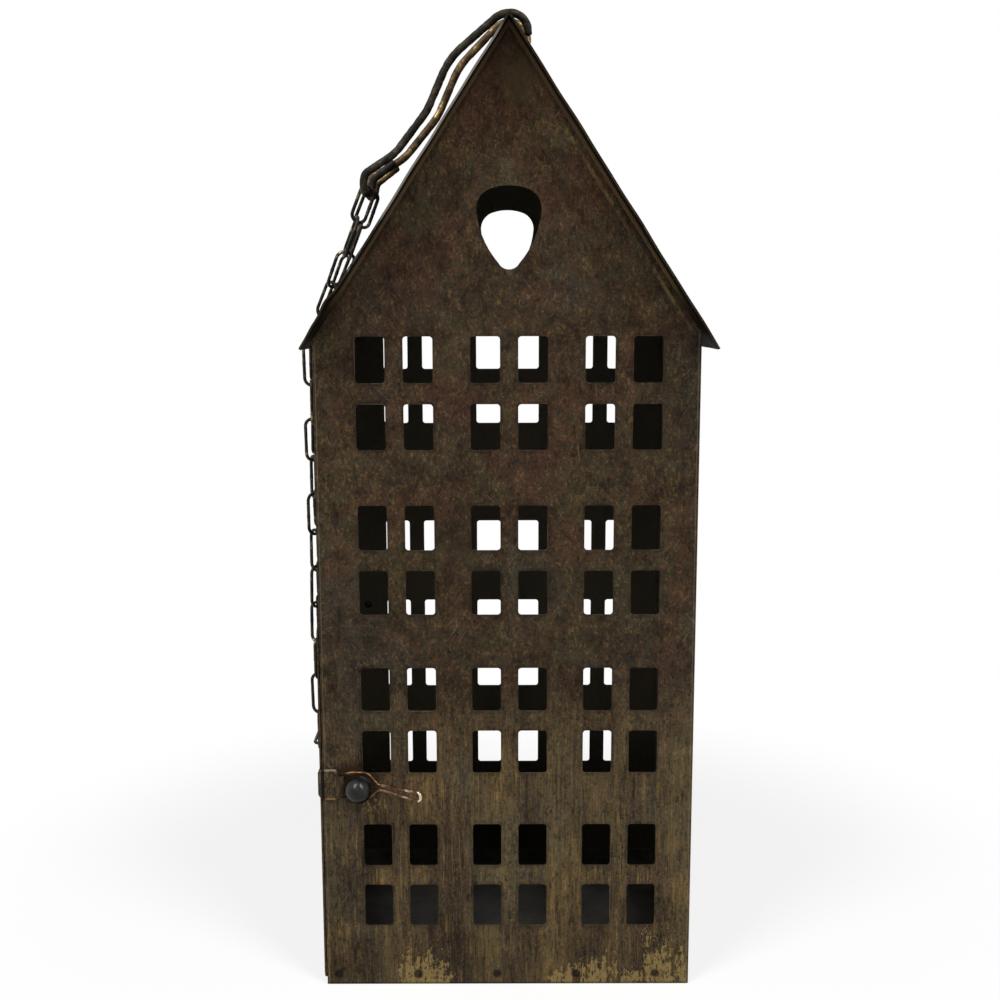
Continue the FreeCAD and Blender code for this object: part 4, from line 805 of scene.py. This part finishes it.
def hook_path(node, x_shares):
    """The wire's middle line, from the tip right of the ridge to the end of the eye. The eye's
    two strands lie a little aside, one away from the roof and one towards it."""
    low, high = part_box(node)
    top = np.array((RIDGE_X, low.y + HOOK_WIRE / 2, high.z - HOOK_WIRE / 2))

    def place(x_share, z_share, along=0.0):
        aside = 1 if along else -1 if z_share < EYE_TOP_SHARE else 0
        offset = np.array((HOOK_REACH * x_share, along, HOOK_LENGTH * z_share))
        return top + offset + EYE_SPREAD * aside

    points = [top + np.array((HOOK_BEND * TIP_LEAN_SHARE, 0, -HOOK_BEND * TIP_DROP_SHARE)),
              top + np.array((HOOK_BEND, 0, 0))]
    points += [place(*shares) for shares in zip(x_shares, HOOK_Z_SHARES)]
    points += [place(*shares, EYE_WIDTH) for shares in zip(
        FRONT_X_SHARES[:-3:-1], HOOK_Z_SHARES[:-3:-1])]
    points.append(place(*RETURN_END_SHARES, EYE_WIDTH))
    bends = [HOOK_BEND] + [HOOK_LENGTH * share for share in HOOK_BEND_SHARES]
    bends += [EYE_WIDTH / 2, EYE_WIDTH / 2, HOOK_LENGTH * HOOK_BEND_SHARES[-1]]
    return wire_path(points, bends, HOOK_SPACING)


HOOK_FINISH = wire_finish(
    "hook_finish", dark=colour(20, 18, 15), rubbed=colour(44, 38, 29), metal=colour(112, 100, 78),
    rub_low=0.58, rub_high=0.70, roughness=0.42, rings=0.8, lean=HOOK_LEAN)
# The rear hook gets lighter, warmer colours than the front one: painted light.
REAR_HOOK_PAINTED_LIGHT_FINISH = wire_finish(
    "rear_hook_painted_light_finish", dark=colour(38, 30, 20), rubbed=colour(72, 57, 37),
    metal=colour(150, 126, 88), rub_low=0.50, rub_high=0.64, roughness=0.40, rings=0.6,
    lean=HOOK_LEAN)
for node, x_shares, finish, phase in (
        ("hook_front", FRONT_X_SHARES, HOOK_FINISH, 0.4),
        ("hook_rear", REAR_X_SHARES, REAR_HOOK_PAINTED_LIGHT_FINISH, 2.1)):
    path = hook_path(node, x_shares)
    skin = wire_skin(node, path, round_ends(path, HOOK_WIRE / 2), HOOK_SIDES, flats=HOOK_FLATS,
                     phase=phase)
    joined(node + "_wire", [skin], finish, "hanger", [node])


# Chain
# Oval links of thin wire, each bent round the next and butted. Every link lies a quarter turn
# and a little more from the one before, so the strand looks twisted.
CHAIN_WIRE = 1.4 * MM
CHAIN_PITCH = 15.8 * MM
LINK_WIDTH = 7.5 * MM
LINK_PLAY = 0.3 * MM
LINK_LENGTH = CHAIN_PITCH + 2 * CHAIN_WIRE + LINK_PLAY
LINK_POINTS = 60
LINK_SIDES = 12
LINK_FLATS = 0.05
SLIM_SHARE = 0.07
EGG_SHARE = 0.05
BUTT_PLACE_SHARE = 0.25
BUTT_STRAY_SHARE = 0.03
BUTT_LENGTH_SHARE = 0.012
BUTT_SWELL_SHARE = 0.16
HANGING_LINKS = 11
SIDE_LINKS = 6
ROOF_LINKS = 4
QUARTER = math.pi / 2
HANGING_TURN = QUARTER * (1 + 1 / (HANGING_LINKS - 1))
ROOF_TURN = QUARTER * (1 + 1 / ROOF_LINKS)
CHAIN_FINISH = wire_finish(
    "chain_finish", dark=colour(30, 28, 23), rubbed=colour(58, 51, 40),
    metal=colour(158, 146, 120), rub_low=0.56, rub_high=0.66, roughness=0.36)
spread = np.random.default_rng(7)


def link_skin(name, centre, along, across, length):
    """One link: two half circles joined by straight runs, a little egg-shaped as hand bending
    leaves it, with a small swelling at the butt."""
    width_half = (LINK_WIDTH - CHAIN_WIRE) / 2
    straight_half = (length - LINK_WIDTH) / 2
    angle = np.linspace(0, 2 * math.pi, 96, endpoint=False)
    run = np.cos(angle) * width_half + np.sign(np.cos(angle)) * straight_half
    slim = 1 - SLIM_SHARE * spread.uniform(0, 1) - EGG_SHARE * (1 + np.sin(
        run / straight_half + spread.uniform(0, 6)))
    out = np.sin(angle) * width_half * slim
    path = centre + run[:, None] * along + out[:, None] * across
    closed = np.concatenate((path, path[:1]))
    lengths = np.linalg.norm(np.diff(closed, axis=0), axis=1)
    total = np.concatenate(([0], np.cumsum(lengths)))
    even = np.linspace(0, total[-1], LINK_POINTS + 1)[:-1]
    path = np.stack([np.interp(even, total, closed[:, axis]) for axis in range(3)], axis=1)
    where = (even / total[-1] + BUTT_STRAY_SHARE * spread.uniform(-1, 1)) % 1.0
    butt = np.exp(-((where - BUTT_PLACE_SHARE) / BUTT_LENGTH_SHARE) ** 2) * BUTT_SWELL_SHARE
    return wire_skin(name, path, CHAIN_WIRE / 2 * (1 + butt), LINK_SIDES, closed=True,
                     flats=LINK_FLATS, phase=spread.uniform(0, 6))


def strand(start, end, count, turn_step, outward, last_length=LINK_LENGTH):
    """Skins of the links from start to end. Each lies turn_step further round the strand than
    the one before, the first a quarter turn from outward."""
    along = (end - start) / np.linalg.norm(end - start)
    normal = outward - along * (outward @ along)
    normal = normal / np.linalg.norm(normal)
    side = np.array((0.0, 1.0, 0.0))
    side = side - along * along[1] - normal * normal[1]
    side = side / np.linalg.norm(side)
    skins = []
    here = start
    for number in range(count):
        length = last_length if number == count - 1 else LINK_LENGTH
        step = length - 2 * CHAIN_WIRE - LINK_PLAY
        roll = QUARTER + turn_step * number
        across = normal * math.cos(roll) + side * math.sin(roll)
        skins.append(link_skin("link", here + along * step / 2, along, across, length))
        here = here + along * step
    return skins


def joint_place(name):
    """Where a joint turns, from the frame."""
    return np.array(next(
        joint["pos_m"] for joint in frame["joints"] if joint["name"] == name))


def in_the_eye(name, turn):
    """Where a strand's end link holds on: the point of the hook's eye that lies furthest
    towards the strand, moved out by half a wire."""
    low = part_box("hook_" + name)[0]
    bottom = np.array((RIDGE_X - HOOK_REACH, low.y + HOOK_WIRE / 2 + EYE_WIDTH / 2,
                       low.z + HOOK_WIRE / 2))
    shank = np.array((HOOK_REACH * (FRONT_X_SHARES[-2] - FRONT_X_SHARES[-1]), 0,
                      HOOK_LENGTH * (HOOK_Z_SHARES[-2] - HOOK_Z_SHARES[-1])))
    shank = shank / np.linalg.norm(shank)
    middle = bottom + shank * EYE_WIDTH / 2
    sideways = np.cross(shank, (0, 1, 0))
    pull = turn - middle
    pull = pull - sideways * (pull @ sideways)
    seat = middle + pull / np.linalg.norm(pull) * EYE_WIDTH / 2
    return seat + (seat - turn) / np.linalg.norm(seat - turn) * (HOOK_WIRE + LINK_PLAY) / 2


turn_point = joint_place("chain_swing")
roof_normal = np.array((-ROOF_RISE, 0, ROOF_HALF))
lower = []
for name in ("front", "rear"):
    side_low, side_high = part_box("chain_side_" + name)
    turn = np.array((turn_point[0], (side_low.y + side_high.y) / 2, turn_point[2]))
    top = in_the_eye(name, turn)
    end_length = (np.linalg.norm(top - turn) - ROOF_LINKS * CHAIN_PITCH
                  + 2 * CHAIN_WIRE + LINK_PLAY)
    on_roof = strand(turn, top, ROOF_LINKS + 1, ROOF_TURN, roof_normal, end_length)
    joined("end_link_%s_wire" % name, [on_roof.pop()], CHAIN_FINISH, "hanger",
           ["end_link_" + name])
    joined("roof_links_" + name, on_roof, CHAIN_FINISH, "hanger",
           ["chain_roof_" + name])
    foot = turn - np.array((0, 0, HANGING_LINKS * CHAIN_PITCH))
    hanging = strand(foot, turn, HANGING_LINKS, HANGING_TURN, np.array((-1.0, 0.0, 0.0)))
    joined("side_links_" + name, hanging[HANGING_LINKS - SIDE_LINKS:], CHAIN_FINISH,
           "chain", ["chain_side_" + name])
    lower += hanging[:HANGING_LINKS - SIDE_LINKS]
end_low, end_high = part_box("chain_loop_end")
loop_middle = np.array((turn_point[0], (end_low.y + end_high.y) / 2,
                        turn_point[2] - HANGING_LINKS * CHAIN_PITCH + (CHAIN_WIRE + LINK_PLAY) / 2))
lower.append(link_skin("link", loop_middle, np.array((0.0, 1.0, 0.0)), np.array((1.0, 0.0, 0.0)),
                       LINK_LENGTH))
joined("lower_links", lower, CHAIN_FINISH, "chain", ["chain_loop_end"])


# Latch loop
# Copper-brown wire bent to a bar that turns in the strap's roll, a ring that snaps over the ball
# and a narrow tail, bowed outwards, to lift it by. Corners are reach, way out and half height.
LOOP_WIRE = 1.2 * MM
LOOP_SPACING = 0.3 * MM
LOOP_FLATS = 0.05
LOOP_BRIGHT = (-36.2 * MM, -35.0 * MM)
# Where painted shade covers the loop's bar by the strap's roll.
LOOP_SHADED = (-65.8 * MM, -63.6 * MM)
LOOP_CORNERS = ((33.3, 12.7, 1.95), (27.4, 9.2, 1.5), (21.0, 4.4, 1.25), (15.4, 1.7, 1.0),
                (11.2, 0.5, 5.45), (5.0, 0.0, 5.5), (0.0, 0.0, 4.75))
LOOP_BENDS = (1.755, 25.0, 25.0, 2.5, 4.2, 4.0, 0.9)
LOOP_FINISH = wire_finish(
    "loop_finish", dark=colour(66, 47, 34), rubbed=colour(110, 80, 56),
    metal=colour(204, 186, 162), rub_low=0.56, rub_high=0.74, roughness=0.24, shine=0.8,
    bright=LOOP_BRIGHT, shaded=LOOP_SHADED)

loop_corners = [(reach, -out, side * height) for side, corners in (
    (1, LOOP_CORNERS), (-1, LOOP_CORNERS[::-1])) for reach, out, height in corners]
pivot = joint_place("latch_swing")
loop_line = wire_path([pivot + np.array(corner) * MM for corner in loop_corners],
                      [bend * MM for bend in LOOP_BENDS + LOOP_BENDS[::-1]], LOOP_SPACING,
                      closed=True)
loop_skin = wire_skin("loop", loop_line, LOOP_WIRE / 2, closed=True, flats=LOOP_FLATS)
joined("latch_loop_wire", [loop_skin], LOOP_FINISH, "latch", ["latch_loop"])


# Latch ball
# A turned steel ball on a stud, dark and softly glossy. Its back is filed flat where the stud
# enters. It stands a little up and right of its CAD place, and is a little smaller.
BALL_DARK = colour(22, 22, 21)
BALL_GREY = colour(38, 38, 36)
BALL_RIM_SHADE = colour(8, 8, 7)
BALL_SCRATCH = colour(120, 116, 106)
BALL_SHARE = 0.93
BALL_SHIFT = np.array((0.3, 0.0, 0.4)) * MM
BALL_STEPS = 96
BALL_ROWS = 61
BALL_FLAT_SHARE = 0.25
BALL_FLAT_EDGE = 0.93
BALL_FLAT_AIMS = ((0.5, -0.6, 0.62), (-0.8, -0.5, 0.33), (0.2, -0.7, -0.68))
SHADE_CENTRE_ASIDE = 0.4 * MM
FACING_UP_SHARE = 0.84
FACING_OUT_SHARE = 0.54
ball_low, ball_high = (np.array(corner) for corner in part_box("latch_ball"))
ball_radius = (ball_high[2] - ball_low[2]) / 2
ball_centre = np.array((ball_low[0] + ball_high[0], 2 * (ball_low[1] + ball_radius),
                        ball_low[2] + ball_high[2])) / 2


def ball_finish():
    """Dark grey steel, with painted shade round its rim, outside a disc in front. Away is the
    distance from the middle of that disc, seen from in front and a little above."""
    finish = Finish("ball_finish")
    x, y, z = finish.axes()
    cloud = finish.noise(2.6 * MM, 4, 0.65)
    grain = finish.noise(0.4 * MM, 3, 0.7)
    rub = scratches(finish, (0.4, 0.8, 0.0), 0.25 * MM, 0.31)
    aside = x - (ball_centre[0] + SHADE_CENTRE_ASIDE)
    above = (z - ball_centre[2]) * FACING_UP_SHARE + (y - ball_centre[1]) * FACING_OUT_SHARE
    away = apart(aside, above) + (cloud - 0.5) * 0.8 * MM
    tone = finish.mix(cloud.rise(0.35, 0.65), BALL_DARK, BALL_GREY)
    # Painted shade round the ball's rim.
    tone = finish.mix(away.rise(3.6 * MM, 5.0 * MM) * 0.95, tone, BALL_RIM_SHADE)
    tone = finish.shade(tone, 0.7 + grain * 0.6)
    tone = finish.mix(rub * 0.4, tone, BALL_SCRATCH)
    return finish.wear(base_color=tone, roughness=0.18 + cloud * 0.06, metallic=0.15,
                       specular_ior_level=0.22, normal=finish.relief(grain + cloud, 0.012 * MM))


def ball_surface():
    """A sphere by turn and height, cut flat behind, with three very shallow flats in front,
    each round the way that it faces."""
    turn, rise = np.meshgrid(np.linspace(0, 2 * math.pi, BALL_STEPS, endpoint=False),
                             np.linspace(-math.pi / 2, math.pi / 2, BALL_ROWS))
    way = np.stack((np.cos(rise) * np.cos(turn), np.sin(rise), np.cos(rise) * np.sin(turn)), -1)
    dents = sum(np.clip(way @ np.array(aim) - BALL_FLAT_EDGE, 0, 1) for aim in BALL_FLAT_AIMS)
    radius = ball_radius * BALL_SHARE * (1 - BALL_FLAT_SHARE * dents)
    points = ball_centre + way * radius[..., None] + BALL_SHIFT
    points[..., 1] = np.minimum(points[..., 1], ball_high[1])
    return mesh_of("ball", points, around=True)


ball = joined("latch_ball_turned", [ball_surface()], ball_finish(), "body",
              ["latch_ball"])
ball.data.set_sharp_from_angle(angle=CREASE_FROM)


# Strap, rivets, pins and stud
# The strap is a piece of the same tin, bent round the corner, rolled round the loop's bar and
# riveted to the door. It is rubbed pale along its edges. Rivets, pins and stud are dark.
STRAP_EDGE = 0.12 * MM
STRAP_BEND_X = -74.8 * MM
STRAP_BRUSHED = 0.6
STRAP_RUBBED = colour(112, 100, 76)
STRAP_PALE = colour(138, 128, 108)
STRAP_GOLD = colour(150, 112, 74)


def strap_finish():
    """Tin with a rubbed pale upper edge, a golden lower edge and painted shade at the bend round
    the corner.
    """
    finish = Finish("strap_finish")
    x, y, z = finish.axes()
    tone, height = patina(finish, STRAP_BRUSHED)
    low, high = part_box("latch_strap")
    rub = finish.noise(0.9 * MM, 4, 0.8, finish.stretched((1, 1, 0.35), shift=0.2))
    tone = finish.mix(rub.rise(0.5, 0.64) * 0.6, tone, STRAP_RUBBED)
    upper = z.rise(high.z - 2.0 * MM, high.z - 0.3 * MM)
    under = z.fall(low.z + 0.5 * MM, low.z + 1.4 * MM)
    tone = finish.mix((upper + rub).rise(1.3, 1.5) * 0.85, tone, STRAP_PALE)
    tone = finish.mix((under + rub * 0.8).rise(1.2, 1.6) * 0.9, tone, STRAP_GOLD)
    # Painted shade at the bend round the corner.
    bend = abs(x - STRAP_BEND_X).fall(0.5 * MM, 0.9 * MM)
    tone = finish.mix(bend * 0.95, tone, BLACK)
    return finish.wear(base_color=tone, roughness=0.6 - upper * 0.12, metallic=0.3,
                       specular_ior_level=0.1, normal=finish.relief(height, 0.12 * MM))


RIVET_FINISH = wire_finish(
    "rivet_finish", dark=colour(34, 30, 26), rubbed=colour(56, 48, 38),
    metal=colour(104, 92, 72), rub_low=0.6, rub_high=0.72, roughness=0.5)
filed_copy("latch_strap", STRAP_EDGE, strap_finish(), "side_door",
           "latch_strap_sheet")
for node, body in (("hinge_wall_rivets", "body"), ("hinge_door_rivets", "side_door"),
                   ("strap_rivets", "side_door"), ("upper_hinge_pin", "body"),
                   ("lower_hinge_pin", "body"), ("ball_stud", "body")):
    filed_copy(node, 0.0, RIVET_FINISH, body, node + "_turned")


# Floor, background and light
# White studio: a floor that keeps the soft shadow near the lantern and shows white further off,
# a white background, and two tall soft boxes in front, which show as two glints on the ball.
STAGE_WHITE = (1.0, 1.0, 1.0, 1.0)
FLOOR_REACH = 6.0
FLOOR_Z = -0.2 * MM
SHADOW_REACH = 0.16
SHADOW_FADE = 0.76
WORLD_LEVEL = 0.15
SOFT_BOX_WATTS = 14.5
SOFT_BOX_WIDTH = 0.45
SOFT_BOX_HEIGHT = 0.85
SOFT_BOX_DISTANCE = 1.5
SOFT_BOX_AZIMUTH = 41.0
SOFT_BOX_ELEVATION = 45.0
SOFT_BOX_AIM = Vector((0, 0, 0.2))


def seen_ray(tree):
    """A socket that is 1 for rays of the camera, of reflections and through glass."""
    rays = tree.nodes.new("ShaderNodeLightPath")
    total = rays.outputs["Is Camera Ray"]
    for kind in ("Is Glossy Ray", "Is Transmission Ray"):
        most = tree.nodes.new("ShaderNodeMath")
        most.operation = "MAXIMUM"
        tree.links.new(total, most.inputs[0])
        tree.links.new(rays.outputs[kind], most.inputs[1])
        total = most.outputs[0]
    return total


floor_finish = Finish("floor_white")
x, y, z = floor_finish.axes()
far = apart(x, y).rise(SHADOW_REACH, SHADOW_REACH * 2)
glow = (SHADOW_FADE + far * (1 - SHADOW_FADE)) * Mark(floor_finish, seen_ray(floor_finish.tree))
floor_finish.wear(base_color=STAGE_WHITE, roughness=0.9, specular_ior_level=0.0)
blend = floor_finish.node("ShaderNodeMixShader", {}, {
    0: glow, 1: Mark(floor_finish, floor_finish.shader.outputs[0]),
    2: floor_finish.node("ShaderNodeEmission", {}, {})})
floor_finish.tree.links.new(blend.socket, floor_finish.output.inputs[0])
floor_mesh = bpy.data.meshes.new("floor")
floor_mesh.from_pydata(
    [(-FLOOR_REACH, -FLOOR_REACH, FLOOR_Z), (FLOOR_REACH, -FLOOR_REACH, FLOOR_Z),
     (FLOOR_REACH, FLOOR_REACH, FLOOR_Z), (-FLOOR_REACH, FLOOR_REACH, FLOOR_Z)],
    [], [(0, 1, 2, 3)])
floor_mesh.materials.append(floor_finish.material)
floor = bpy.data.objects.new("floor", floor_mesh)
bpy.context.scene.collection.objects.link(floor)

world = bpy.data.worlds.new("studio")
bpy.context.scene.world = world
world.use_nodes = True
studio = world.node_tree
studio.nodes.clear()
level = studio.nodes.new("ShaderNodeMapRange")
studio.links.new(seen_ray(studio), level.inputs[0])
level.inputs[3].default_value = WORLD_LEVEL
level.inputs[4].default_value = 1.0
background = studio.nodes.new("ShaderNodeBackground")
background.inputs["Color"].default_value = STAGE_WHITE
studio.links.new(level.outputs[0], background.inputs["Strength"])
studio.links.new(background.outputs[0], studio.nodes.new("ShaderNodeOutputWorld").inputs[0])

for side in (-1, 1):
    lamp = bpy.data.lights.new("soft_box", "AREA")
    lamp.shape = "RECTANGLE"
    lamp.size = SOFT_BOX_WIDTH
    lamp.size_y = SOFT_BOX_HEIGHT
    lamp.energy = SOFT_BOX_WATTS
    box = bpy.data.objects.new("soft_box", lamp)
    azimuth, elevation = math.radians(SOFT_BOX_AZIMUTH * side), math.radians(SOFT_BOX_ELEVATION)
    away = Vector((math.sin(azimuth) * math.cos(elevation),
                   -math.cos(azimuth) * math.cos(elevation), math.sin(elevation)))
    box.location = SOFT_BOX_AIM + away * SOFT_BOX_DISTANCE
    box.rotation_euler = away.to_track_quat("Z", "Y").to_euler()
    bpy.context.scene.collection.objects.link(box)
